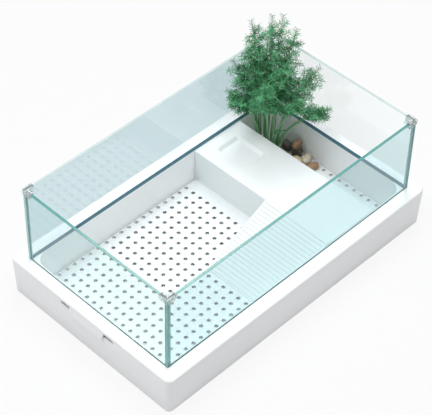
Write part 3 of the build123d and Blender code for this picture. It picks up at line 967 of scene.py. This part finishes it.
@dataclass(frozen=True)
class FloorTray:
    """Perforated tray on short legs."""

    half_length: float = 268.713
    half_width: float = 148.713
    corner: float = 24.0
    bottom: float = 10.5
    top: float = 12.0
    floor: float = 6.0
    hole_radius: float = 3.5
    chamfer: float = 0.3
    pitch: float = 17.0
    columns: int = 32
    rows: int = 18
    leg_radius: float = 3.0
    leg_sides: int = 20
    leg_pitch: float = 119.0
    deck: Range = (87.0, 197.0)
    ramp: Range = (-50.0, -15.0)
    ramp_margin: float = 2.9

    def _open(self, x: float, y: float) -> bool:
        """True where the platform and its ramp leave the tray bare."""
        margin = self.pitch / 2
        under_deck = self.deck[0] - 1.5 * margin < x < self.deck[1] + margin
        under_ramp = self.ramp[0] - self.ramp_margin < x < self.deck[0] and y < self.ramp[1]
        at_corner = abs(x) > self.half_length - margin and abs(y) > self.half_width - margin
        return not (under_deck or under_ramp or at_corner)

    def holes(self) -> list[Point]:
        """Places of the holes, in metres."""
        spots = (
            ((c - (self.columns - 1) / 2) * self.pitch, (r - (self.rows - 1) / 2) * self.pitch)
            for c in range(self.columns)
            for r in range(self.rows)
        )
        return [(x * MM, y * MM, 0.0) for x, y in spots if self._open(x, y)]

    def build(self, finish: Material) -> None:
        """Build the plate with Geometry Nodes and its legs on the same body."""
        holes = self.holes()
        mesh = bpy.data.meshes.new("hole_places")
        mesh.from_pydata(holes, [], [])
        plate = link_object("tray_plate", mesh)
        sizes = {
            "Length": 2 * self.half_length,
            "Width": 2 * self.half_width,
            "Corner": self.corner,
            "Bottom": self.bottom,
            "Top": self.top,
            "Hole Radius": self.hole_radius,
            "Chamfer": self.chamfer,
        }
        values = {name: size * MM for name, size in sizes.items()}
        PlateTree().run_on(plate, "perforate", {**values, "Finish": finish})
        plate = plain(plate)
        smooth(plate, 35.0)
        seat(plate, Body.TRAY.value, ["floor_tray"], f"{len(holes)} holes")
        seat(self._legs(finish), Body.TRAY.value)

    def _legs(self, finish: Material) -> Item:
        """Short round legs under the plate."""
        shape = bmesh.new()
        height = self.bottom - self.floor
        for column in range(-2, 3):
            for row in range(-1, 2):
                spot = (column * self.leg_pitch, row * self.leg_pitch, (self.floor + self.bottom) / 2)
                add_cylinder(shape, Vector(spot) * MM, self.leg_radius * MM, height * MM, self.leg_sides)
        legs = mesh_object("tray_legs", shape)
        legs.data.materials.append(finish)
        smooth(legs, 40.0)
        return legs


class RibTree(ShapeTree):
    """Geometry Nodes for a row of bars up a slope."""

    def __init__(self) -> None:
        """Build the tree once."""
        inputs = {"Count": "Int", "Start": "Vector", "Step": "Vector", "Slope": "Float"}
        inputs |= dict.fromkeys(("Rib Length", "Rib Width", "Rib Height"), "Float")
        super().__init__("ramp_ribs", {**inputs, "Finish": "Material"})
        values = self.values
        feeds = {"Count": values["Count"], "Start Location": values["Start"], "Offset": values["Step"]}
        row = self.add("GeometryNodeMeshLine", feeds, mode="OFFSET").outputs[0]
        size = self.vector(values["Rib Width"], values["Rib Length"], values["Rib Height"])
        bar = self.add("GeometryNodeMeshCube", {"Size": size}).outputs["Mesh"]
        ribs = self.copies({"Points": row, "Instance": bar, "Rotation": self.vector(y=values["Slope"])})
        self.close(self.dressed(ribs, "Finish"))


@dataclass(frozen=True)
class BaskingPlatform:
    """Hollow deck with a food recess and a ribbed ramp."""

    deck: Range = (87.0, 197.0)
    deck_top: float = 77.0
    foot: float = 12.0
    half_width_top: float = 152.2
    half_width_foot: float = 150.218
    wall: float = 3.0
    ramp_foot: float = -50.0
    ramp_back: float = -15.0
    ramp_toe: float = 1.5
    rib_count: int = 20
    rib_width: float = 3.4
    rib_height: float = 1.2
    rib_end_gap: float = 3.0
    rib_round: float = 0.8
    first_rib: float = 0.7
    recess_x: Range = (116.0, 168.0)
    recess_y: Range = (61.2, 129.2)
    recess_depth: float = 6.0
    recess_slope: float = 5.0
    recess_corner: float = 8.0
    corner_points: int = 7
    edge_round: float = 0.9
    cut_below: float = 4.0
    cut_past: float = 0.5
    cut_above: float = 1.0
    least_toe: float = 0.05

    def _deck(self, name: str, inset: float, low: float, high: float) -> Item:
        """The deck's block, or its hollow, a little narrower at its foot."""
        x = (self.deck[0] + inset, self.deck[1] - inset)
        rings = []
        for height, half in ((low, self.half_width_foot), (high, self.half_width_top)):
            y = half - inset
            rings.append(((x[0], -y, height), (x[1], -y, height), (x[1], y, height), (x[0], y, height)))
        return block(name, rings[0], rings[1])

    def _wedge(self, name: str, inset: float, drop: float, end: float, foot: float) -> Item:
        """The ramp's wedge, or its hollow.

        Args:
            name: Name of the solid.
            inset: How far its sides stand in from the ramp's.
            drop: How far its slope lies below the ramp's.
            end: Where it ends under the deck.
            foot: Height of its bottom.

        Returns:
            The solid.
        """
        run = self.deck[0] - self.ramp_foot
        slope = (self.deck_top - self.foot - self.ramp_toe) / run
        start = self.ramp_foot + max(0.0, drop - self.ramp_toe) / slope
        y = (-self.half_width_foot + inset, self.ramp_back - inset)
        low_top = self.foot + self.ramp_toe + (start - self.ramp_foot) * slope - drop
        top = max(low_top, foot + self.least_toe)
        high_top = self.deck_top - drop
        low = ((start, y[0], foot), (end, y[0], foot), (end, y[1], foot), (start, y[1], foot))
        high = ((start, y[0], top), (end, y[0], high_top), (end, y[1], high_top), (start, y[1], top))
        return block(name, low, high)

    def build(self, finish: Material) -> None:
        """Build the shell, round its edges and add the ribs."""
        run = self.deck[0] - self.ramp_foot
        angle = math.atan2(self.deck_top - self.foot - self.ramp_toe, run)
        drop = self.wall / math.cos(angle)
        under = self.foot - self.cut_below
        inner_end = self.deck[0] + self.wall + self.cut_past
        pocket_z = (self.deck_top - self.recess_depth - self.wall, self.deck_top - self.cut_above)
        shell = self._deck("platform_shell", 0.0, self.foot, self.deck_top)
        pocket = upright_block("pocket", self.recess_x, self.recess_y, pocket_z)
        self._cut(shell, self._wedge("wedge", 0.0, 0.0, self.deck[0], self.foot), "UNION")
        self._cut(shell, self._deck("hollow", self.wall, under, self.deck_top - self.wall), "DIFFERENCE")
        self._cut(shell, self._wedge("ramp_hollow", self.wall, drop, inner_end, under), "DIFFERENCE")
        self._cut(shell, pocket, "UNION")
        self._cut(shell, self._dish(), "DIFFERENCE")
        shell = rounded(shell, self.edge_round)
        shell.data.materials.clear()
        shell.data.materials.append(finish)
        seat(shell, Body.PLATFORM.value, ["basking_platform"])
        seat(self._ribs(angle, run, finish), Body.PLATFORM.value)

    def _dish(self) -> Item:
        """The food recess as a solid: a rounded rectangle that narrows downwards."""
        middle_x, middle_y = sum(self.recess_x) / 2, sum(self.recess_y) / 2
        half_x = (self.recess_x[1] - self.recess_x[0]) / 2
        half_y = (self.recess_y[1] - self.recess_y[0]) / 2
        grow = self.recess_slope / self.recess_depth
        points = []
        for inset, depth in ((self.recess_slope, self.recess_depth), (-grow, -1.0)):
            corner = self.recess_corner - inset
            for quarter, (side_x, side_y) in enumerate(((1, 1), (-1, 1), (-1, -1), (1, -1))):
                for step in range(self.corner_points):
                    angle = math.radians(90.0 * (quarter + step / (self.corner_points - 1)))
                    x = middle_x + side_x * (half_x - inset - corner) + corner * math.cos(angle)
                    y = middle_y + side_y * (half_y - inset - corner) + corner * math.sin(angle)
                    points.append((x * MM, y * MM, (self.deck_top - depth) * MM))
        return closed_mesh("dish", points, prism_faces(4 * self.corner_points))

    def _cut(self, shell: Item, tool: Item, way: str) -> None:
        """Join or cut the shell with another solid, which is used up."""
        boolean = shell.modifiers.new(tool.name, "BOOLEAN")
        boolean.object = tool
        boolean.operation = way
        boolean.solver = "EXACT"
        graph = bpy.context.evaluated_depsgraph_get()
        shell.data = bpy.data.meshes.new_from_object(shell.evaluated_get(graph), depsgraph=graph)
        shell.modifiers.clear()
        bpy.data.objects.remove(tool)

    def _ribs(self, angle: float, run: float, finish: Material) -> Item:
        """Grip ribs across the ramp, half sunk in it."""
        ribs = link_object("ramp_ribs", bpy.data.meshes.new("ramp_ribs"))
        slope = math.tan(angle)
        first = self.first_rib / self.rib_count * run
        middle = (-self.half_width_foot + self.ramp_back) / 2
        length = self.half_width_foot + self.ramp_back - 2 * self.rib_end_gap
        start = (self.ramp_foot + first, middle, self.foot + self.ramp_toe + first * slope)
        step = (run / self.rib_count, 0.0, run / self.rib_count * slope)
        values = {
            "Count": self.rib_count,
            "Start": [v * MM for v in start],
            "Step": [v * MM for v in step],
            "Slope": -angle,
            "Rib Length": length * MM,
            "Rib Width": self.rib_width * MM,
            "Rib Height": 2 * self.rib_height * MM,
            "Finish": finish,
        }
        RibTree().run_on(ribs, "repeat", values)
        return rounded(ribs, self.rib_round)


@dataclass(frozen=True)
class Pebble:
    """One tumbled stone: its place, size and turn, the height it lies at and its finish."""

    x: float
    y: float
    length: float
    width: float
    height: float
    turn: float
    below: float
    finish: int


@dataclass(frozen=True)
class StonePile:
    """Loose stones on the trough floor. Lumps are given as depth and scale."""

    floor: float = 12.0
    coarse: Range = (0.13, 1.3)
    fine: Range = (0.03, 5.0)
    squareness: float = 2.6
    shrink: float = 0.93
    seat_height: float = 0.15
    pebbles: tuple[Pebble, ...] = (
        Pebble(257.0, 92.0, 26.0, 19.0, 17.0, 80.0, 0.0, 1),
        Pebble(258.0, 68.0, 22.0, 18.0, 19.0, 100.0, 0.0, 1),
        Pebble(234.0, 62.0, 25.0, 18.0, 15.0, 10.0, 0.0, 1),
        Pebble(212.0, 66.0, 18.0, 15.0, 13.0, 60.0, 0.0, 2),
        Pebble(256.0, 44.0, 27.0, 17.0, 14.0, 20.0, 0.0, 4),
        Pebble(228.0, 42.0, 24.0, 17.0, 16.0, 150.0, 0.0, 0),
        Pebble(252.0, 24.0, 25.0, 15.0, 13.0, 165.0, 0.0, 3),
        Pebble(257.0, 68.0, 24.0, 17.0, 15.0, 15.0, 19.0, 2),
        Pebble(230.0, 43.0, 22.0, 15.0, 13.0, 70.0, 16.0, 0),
    )

    def build(self, patterns: Patterns) -> None:
        """Build every stone."""
        finishes = [finish.make(patterns) for finish in STONES]
        for number, pebble in enumerate(self.pebbles, start=1):
            stone = self._stone(f"river_stone_{number}", pebble, number)
            stone.data.materials.append(finishes[pebble.finish])
            seat(stone, Body.PEBBLES.value, [f"pebble_{number}"])

    def _stone(self, name: str, pebble: Pebble, seed: int) -> Item:
        """A rounded, slightly lumpy stone with a flat seat."""
        shape = bmesh.new()
        bmesh.ops.create_icosphere(shape, subdivisions=4, radius=1.0)
        turn = Matrix.Rotation(math.radians(pebble.turn), 3, "Z")
        half = pebble.height / 2
        for vert in shape.verts:
            way = vert.co.normalized()
            lump = 1.0 + self.coarse[0] * noise.noise(way * self.coarse[1] + Vector((seed * 7.1, 0, 0)))
            lump += self.fine[0] * noise.noise(way * self.fine[1] + Vector((0, seed * 3.3, 0)))
            place = way * lump * boxy(way, self.squareness) * self.shrink
            z = max(place.z * pebble.height / 2, -half + self.seat_height)
            flat = turn @ Vector((place.x * pebble.length / 2, place.y * pebble.width / 2, 0.0))
            high = self.floor + pebble.below + half + min(z, half)
            vert.co = Vector((pebble.x + flat.x, pebble.y + flat.y, high)) * MM
        stone = mesh_object(name, shape)
        stone.data.shade_smooth()
        return stone


class FeatherTree(ShapeTree):
    """Geometry Nodes that turn a plant's thin axes into round stems with rows of needles."""

    def __init__(self) -> None:
        """Build the tree once."""
        inputs = dict.fromkeys(("Needle Gap", "Needle Length", "Needle Width"), "Float")
        inputs |= {"Seed": "Int", "Stem Finish": "Material", "Needle Finish": "Material"}
        super().__init__("feathered_axes", inputs)
        axes = self.add("GeometryNodeMeshToCurve", {"Mesh": self.values["Geometry"]}).outputs[0]
        self.close(self.joined(self._stems(axes), self._needles(axes)))

    def _named(self, name: str, kind: str = "FLOAT") -> Socket:
        """Read an attribute of the axes."""
        return self.add("GeometryNodeInputNamedAttribute", {"Name": name}, data_type=kind).outputs[0]

    def _random(self, low: float, high: float, shift: int) -> Socket:
        """A random number for each needle, from the tree's own seed."""
        seed = self.math("ADD", self.values["Seed"], float(shift))
        feeds = {2: low, 3: high, "Seed": seed}
        return self.add("FunctionNodeRandomValue", feeds, data_type="FLOAT").outputs[1]

    def _stems(self, axes: Socket) -> Socket:
        """Round stems with closed ends, as thick as their attribute says."""
        feeds = {"Resolution": 6, "Radius": 1.0}
        ring = self.add("GeometryNodeCurvePrimitiveCircle", feeds, mode="RADIUS").outputs["Curve"]
        feeds = {"Curve": axes, "Profile Curve": ring, "Scale": self._named("thick"), "Fill Caps": True}
        tube = self.add("GeometryNodeCurveToMesh", feeds).outputs[0]
        soft = self.add("GeometryNodeSetShadeSmooth", {"Geometry": tube}).outputs[0]
        return self.dressed(soft, "Stem Finish")

    def _needles(self, axes: Socket) -> Socket:
        """Thin needles on both sides of each feathered axis, turn about."""
        feeds = {"Curve": axes, "Length": self.values["Needle Gap"]}
        points = self.add("GeometryNodeCurveToPoints", feeds, mode="LENGTH").outputs
        feather = self._named("feather")
        grown = self.add(
            "FunctionNodeCompare", {0: feather, 1: 0.12}, data_type="FLOAT", operation="GREATER_THAN"
        )
        feeds = {"Vertices": 3, "Side Segments": 1, "Fill Segments": 1}
        feeds |= {"Radius Top": 0.45, "Radius Bottom": 1.0, "Depth": 1.0}
        needle = self.add("GeometryNodeMeshCone", feeds, fill_type="NGON")
        length = self.math("MULTIPLY", self.values["Needle Length"], feather)
        length = self.math("MULTIPLY", length, self._random(0.7, 1.1, 11))
        width = self.values["Needle Width"]
        feeds = {
            "Points": points["Points"],
            "Selection": grown.outputs[0],
            "Instance": needle.outputs["Mesh"],
            "Rotation": self._turned(points["Tangent"]),
            "Scale": self.vector(width, width, length),
        }
        placed = self.add("GeometryNodeInstanceOnPoints", feeds).outputs[0]
        shade = self.math("ADD", self._named("shade"), self._random(-0.45, 0.45, 13), clamp=True)
        feeds = {"Geometry": placed, "Name": "shade", "Value": shade}
        shaded = self.add("GeometryNodeStoreNamedAttribute", feeds, data_type="FLOAT", domain="INSTANCE")
        solid = self.add("GeometryNodeRealizeInstances", {"Geometry": shaded.outputs[0]}).outputs[0]
        return self.dressed(solid, "Needle Finish")

    def _turned(self, tangent: Socket) -> Socket:
        """Turn of each needle: outwards to one side or the other, ahead, and a little astray."""
        parity = self.math("MODULO", self.add("GeometryNodeInputIndex").outputs[0], 2.0)
        side = self.math("MULTIPLY_ADD", parity, 2.0, -1.0)
        outward = self.scaled(self._named("lay", "FLOAT_VECTOR"), side)
        ahead = self.scaled(tangent, self._random(0.6, 0.9, 3))
        stray = self.vector(x=self._random(-0.14, 0.14, 7), z=self._random(-0.1, 0.32, 5))
        way = self.vectors("ADD", self.vectors("ADD", outward, ahead), stray)
        return self.add("FunctionNodeAlignRotationToVector", {"Vector": way}, axis="Z").outputs[0]


@dataclass(frozen=True)
class Axis:
    """One thin axis of the plant: its points in millimetres, with thickness and needle share at each."""

    points: tuple[Vector, ...]
    thick: tuple[float, ...]
    feather: tuple[float, ...]
    lay: tuple[Vector, ...]
    shade: float


@dataclass(frozen=True)
class Fern:
    """Artificial asparagus fern: a resin foot and fourteen fronds of stems, branches and needles.

    Each frond is given by its start across and along the foot, the direction of its lean in degrees
    from +X, the reach of its tip from its start and the height of its tip. A taper is the thickness
    at the foot and what it loses towards the tip.
    """

    x: float = 228.0
    y: float = 113.0
    foot_top: float = 25.0
    foot_bottom: float = 12.0
    foot_half: Range = (17.0, 32.0)
    foot_squareness: float = 5.0
    lean_power: float = 1.9
    stem_points: int = 22
    stem_end: float = 0.965
    stem_taper: Range = (2.2, 1.85)
    first_needle: float = 0.42
    needle_gap: float = 2.3
    needle_length: float = 9.4
    needle_width: float = 0.68
    needle_roll: Range = (-0.8, 0.8)
    side_stems: int = 3
    side_points: int = 10
    side_taper: Range = (1.15, 0.45)
    branches: int = 34
    branch_points: int = 7
    branch_taper: Range = (0.5, 0.28)
    branch_length: Range = (62.0, 26.0)
    branch_turn: float = 2.4
    branch_tries: int = 4
    shortening: float = 0.72
    droop: Range = (0.15, 0.45)
    last_branch: float = 0.86
    short_frond: float = 220.0
    short_share: float = 0.7
    first_leaf: float = 112.0
    spray_flat: Point = (0.51, 0.49, -0.71)
    twig_shares: tuple[float, ...] = (0.25, 0.42, 0.6, 0.76)
    twig_steps: tuple[float, ...] = (0.0, 0.34, 0.67, 1.0)
    twig_thick: tuple[float, ...] = (0.36, 0.3, 0.26, 0.2)
    twig_feather: tuple[float, ...] = (0.6, 1.0, 0.9, 0.6)
    model_limit: Point = (288.0, 172.0, 316.0)
    glass_limit: Point = (264.0, 145.0, 240.0)
    clip_limit: Point = (246.0, 126.0, 264.0)
    deck_limit: float = 62.0
    low_leaf: float = 98.0
    low_slope: float = 0.9
    side_relief: tuple[float, float, float] = (35.0, 0.4, 16.0)
    fronds: tuple[tuple[float, float, float, float, float], ...] = (
        (0.0, 2.0, 60.0, 4.0, 322.0),
        (-5.0, 12.0, 128.0, 26.0, 308.0),
        (5.0, -6.0, -50.0, 34.0, 300.0),
        (-7.0, 1.0, 165.0, 48.0, 286.0),
        (8.0, 8.0, 10.0, 34.0, 296.0),
        (-2.0, -10.0, -110.0, 46.0, 268.0),
        (2.0, 20.0, 75.0, 22.0, 276.0),
        (-9.0, 15.0, 164.0, 60.0, 246.0),
        (7.0, -16.0, -68.0, 74.0, 240.0),
        (-8.0, -9.0, -150.0, 72.0, 232.0),
        (-5.0, -19.0, -100.0, 86.0, 206.0),
        (-10.0, 9.0, 172.0, 84.0, 200.0),
        (3.0, -24.0, -78.0, 104.0, 176.0),
        (-9.0, -22.0, -128.0, 92.0, 162.0),
    )

    def build(self, patterns: Patterns) -> None:
        """Build the foot and every frond."""
        foot = self._foot()
        foot.data.materials.append(ROOT_RESIN.make(patterns))
        seat(foot, Body.PLANT.value, ["fern_foot"])
        tree = FeatherTree()
        finishes = {"Stem Finish": STEM.make(patterns), "Needle Finish": NEEDLE.make(patterns)}
        for number, frond in enumerate(self.fronds, start=1):
            axes = self._axes(frond, random.Random(100 + number))
            piece = self._feathered(f"fern_frond_{number:02d}", axes, tree, {"Seed": number, **finishes})
            seat(piece, Body.PLANT.value, [f"frond_{number:02d}"], f"{len(axes)} axes")

    def _spot(self, frond: Sequence[float], share: float) -> Vector:
        """Point of a frond's main stem at a share of its length."""
        start_x, start_y, lean, reach, tip = frond
        outward = reach * share**self.lean_power
        x = self.x + start_x + outward * math.cos(math.radians(lean))
        y = self.y + start_y + outward * math.sin(math.radians(lean))
        return Vector((x, y, self.foot_top + (tip - self.foot_top) * share))

    def _ahead(self, frond: Sequence[float], share: float) -> Vector:
        """A short way along a frond's main stem from a share of its length."""
        return self._spot(frond, share + 0.02) - self._spot(frond, share)

    def _room(self, spot: Vector) -> bool:
        """True where foliage is clear of glass, clip, deck and the model's box, and above the bare stems."""
        x, y, z = spot
        if x > self.model_limit[0] or y > self.model_limit[1] or z > self.model_limit[2]:
            return False
        if z < self.glass_limit[2] and (x > self.glass_limit[0] or y > self.glass_limit[1]):
            return False
        if z < self.clip_limit[2] and x > self.clip_limit[0] and y > self.clip_limit[1]:
            return False
        nearer = 0.7 * (self.x - x + self.y - y)
        aside = 0.7 * (x - self.x + self.y - y)
        start, rate, most = self.side_relief
        relief = min(most, rate * max(0.0, aside - start))
        return z > max(self.deck_limit, self.low_leaf + self.low_slope * nearer - relief)

    def _axes(self, frond: Sequence[float], chance: random.Random) -> list[Axis]:
        """Main stem, side branches and a few bare side stems of one frond."""
        shares = [self.stem_end * i / (self.stem_points - 1) for i in range(self.stem_points)]
        main = Axis(
            tuple(self._spot(frond, s) for s in shares),
            self._thickness(self.stem_taper, shares),
            tuple(self._growth(s) for s in shares),
            tuple(self._across(self._ahead(frond, s), 0.0) for s in shares),
            chance.uniform(0.05, 0.4),
        )
        axes = [main] + [self._side_stem(frond, chance) for _ in range(self.side_stems)]
        bare = min(0.7, (self.first_leaf - self.foot_top) / (frond[4] - self.foot_top))
        low, high = self.branch_length
        for index in range(self.branches):
            along = (index + 0.5) / self.branches
            share = bare + (self.last_branch - bare) * along
            length = (low + (high - low) * along) * chance.uniform(0.75, 1.15)
            if frond[4] < self.short_frond:
                length *= self.short_share
            turn = index * self.branch_turn + chance.uniform(-0.3, 0.3)
            axis = self._branch(frond, share, turn, length, chance)
            if axis is not None:
                axes.append(axis)
                axes += self._twigs(axis, chance)
        return axes

    def _side_stem(self, frond: Sequence[float], chance: random.Random) -> Axis:
        """A thinner bare stem that leaves the foot beside the main one and joins it higher up."""
        turn = chance.uniform(0.0, 2 * math.pi)
        apart = Vector((math.cos(turn), math.sin(turn), 0.0)) * chance.uniform(2.0, 4.5)
        join = chance.uniform(0.4, 0.7)
        count = self.side_points
        steps = [i / (count - 1) for i in range(count)]
        return Axis(
            tuple(self._spot(frond, join * s) + apart * (1.0 - s * s) for s in steps),
            self._thickness(self.side_taper, steps),
            (0.0,) * count,
            (Vector((1.0, 0.0, 0.0)),) * count,
            chance.uniform(0.0, 0.8),
        )

    def _twigs(self, branch: Axis, chance: random.Random) -> list[Axis]:
        """Short twigs on both sides of a branch, turn about."""
        twigs = []
        whole = (branch.points[-1] - branch.points[0]).length
        for number, share in enumerate(self.twig_shares):
            spot = share * (len(branch.points) - 1)
            low = int(spot)
            foot = branch.points[low].lerp(branch.points[low + 1], spot - low)
            ahead = (branch.points[low + 1] - branch.points[low]).normalized()
            side = branch.lay[0] * (1 if number % 2 else -1)
            way = (ahead * 0.8 + side * 0.75 + Vector((0, 0, chance.uniform(-0.2, 0.3)))).normalized()
            length = whole * (0.42 - 0.25 * share) * chance.uniform(0.8, 1.15)
            steps = self.twig_steps
            points = [foot + way * length * s - Vector((0, 0, 0.2 * length * s * s)) for s in steps]
            if all(self._room(p) for p in points):
                lay = self._across(way, chance.uniform(*self.needle_roll))
                shade = min(1.0, max(0.0, branch.shade + chance.uniform(-0.15, 0.15)))
                twigs.append(Axis(tuple(points), self.twig_thick, self.twig_feather, (lay,) * 4, shade))
        return twigs

    def _across(self, way: Vector, turn: float) -> Vector:
        """Direction of an axis's needles: square to it, turned by an angle out of the spray's flat."""
        ahead = way.normalized()
        flat = Vector(self.spray_flat).cross(ahead)
        if flat.length < 0.2:
            flat = UP.cross(ahead)
        flat.normalize()
        return (flat * math.cos(turn) + ahead.cross(flat) * math.sin(turn)).normalized()

    def _thickness(self, taper: Range, shares: Sequence[float]) -> tuple[float, ...]:
        """Thickness of an axis at each share of its length."""
        return tuple(taper[0] - taper[1] * s for s in shares)

    def _growth(self, share: float) -> float:
        """How long the needles are along a stem: none at its foot, full at its middle, short at its tip."""
        if share < self.first_needle:
            return 0.0
        rise = min(1.0, (share - self.first_needle) / 0.15)
        return rise * (1.0 - 0.2 * max(0.0, (share - 0.75) / 0.25))

    def _branch(
        self, frond: Sequence[float], share: float, turn: float, length: float, chance: random.Random
    ) -> Axis | None:
        """One side branch that leaves the stem, spreads and droops; shorter where there is no room.

        Args:
            frond: The frond it grows on.
            share: Where it leaves the main stem.
            turn: Its direction round the stem, in radians.
            length: Its length where there is room.
            chance: Source of the random numbers.

        Returns:
            The branch, or nothing where there is no room at all.
        """
        foot = self._spot(frond, share)
        ahead = self._ahead(frond, share).normalized()
        across = ahead.cross(Vector((0.3, 0.2, 1.0))).normalized()
        if across.length < 0.5:
            across = Vector((1.0, 0.0, 0.0))
        around = ahead.cross(across).normalized()
        radial = across * math.cos(turn) + around * math.sin(turn)
        way = (ahead * (0.65 + 0.65 * share) + radial * (1.05 - 0.35 * share)).normalized()
        droop = chance.uniform(*self.droop)
        shares = [step / (self.branch_points - 1) for step in range(self.branch_points)]
        for _ in range(self.branch_tries):
            points = [foot + way * length * s - UP * droop * length * s * s for s in shares]
            if all(self._room(p) for p in points[1:]):
                break
            length *= self.shortening
        else:
            return None
        lay = self._across(way, chance.uniform(*self.needle_roll))
        return Axis(
            tuple(points),
            self._thickness(self.branch_taper, shares),
            tuple(min(1.0, 0.35 + 3.0 * s) * (1.0 - 0.3 * max(0.0, (s - 0.6) / 0.4)) for s in shares),
            (lay,) * self.branch_points,
            chance.uniform(0.12, 0.88),
        )

    def _feathered(self, name: str, axes: list[Axis], tree: FeatherTree, own: dict[str, object]) -> Item:
        """Run the axes through Geometry Nodes, with a frond's own values, and keep the plain mesh."""
        points, edges = [], []
        thick, feather, lay, shade = [], [], [], []
        for axis in axes:
            first = len(points)
            points += [p * MM for p in axis.points]
            edges += [(first + i, first + i + 1) for i in range(len(axis.points) - 1)]
            thick += [t * MM for t in axis.thick]
            feather += axis.feather
            lay += [v for way in axis.lay for v in way]
            shade += [axis.shade] * len(axis.points)
        mesh = bpy.data.meshes.new(name)
        mesh.from_pydata(points, edges, [])
        for label, values in (("thick", thick), ("feather", feather), ("shade", shade)):
            mesh.attributes.new(label, "FLOAT", "POINT").data.foreach_set("value", values)
        mesh.attributes.new("lay", "FLOAT_VECTOR", "POINT").data.foreach_set("vector", lay)
        piece = link_object(name, mesh)
        sizes = {
            "Needle Gap": self.needle_gap * MM,
            "Needle Length": self.needle_length * MM,
            "Needle Width": self.needle_width * MM,
        }
        tree.run_on(piece, "grow", {**sizes, **own})
        return plain(piece)

    def _foot(self) -> Item:
        """Lumpy resin foot that holds the stems."""
        shape = bmesh.new()
        bmesh.ops.create_icosphere(shape, subdivisions=5, radius=1.0)
        middle = (self.foot_bottom + self.foot_top) / 2
        half_high = (self.foot_top - self.foot_bottom) / 2
        for vert in shape.verts:
            way = vert.co.normalized()
            place = way * boxy(way, self.foot_squareness)
            lump = 0.95 + 0.05 * noise.noise(Vector((place.x * 3, place.y * 5, place.z * 2)))
            taper = 1.0 - 0.06 * (place.z + 1.0)
            x = place.x * self.foot_half[0] * lump * taper
            y = place.y * self.foot_half[1] * lump * taper
            top = 0.6 * noise.noise(Vector((x * 0.22, y * 0.22, 2.0))) if place.z > 0.5 else 0.0
            vert.co = Vector((self.x + x, self.y + y, middle + place.z * half_high * 0.97 + top)) * MM
        foot = mesh_object("fern_root", shape)
        foot.data.shade_smooth()
        return foot


def main() -> None:
    """Build every sub-assembly over the CAD frame."""
    logging.basicConfig(level=logging.INFO, format="%(message)s")
    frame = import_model()
    nodes = frame["nodes"]
    patterns = Patterns()
    PhotoCamera().build()
    Studio().build()
    MouldedBase().build(nodes, patterns)
    GlassBox().build(nodes, patterns)
    insert = WHITE_INSERT.make(patterns)
    FloorTray().build(insert)
    BaskingPlatform().build(insert)
    StonePile().build(patterns)
    Fern().build(patterns)
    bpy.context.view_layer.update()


if __name__ == "__main__":
    main()
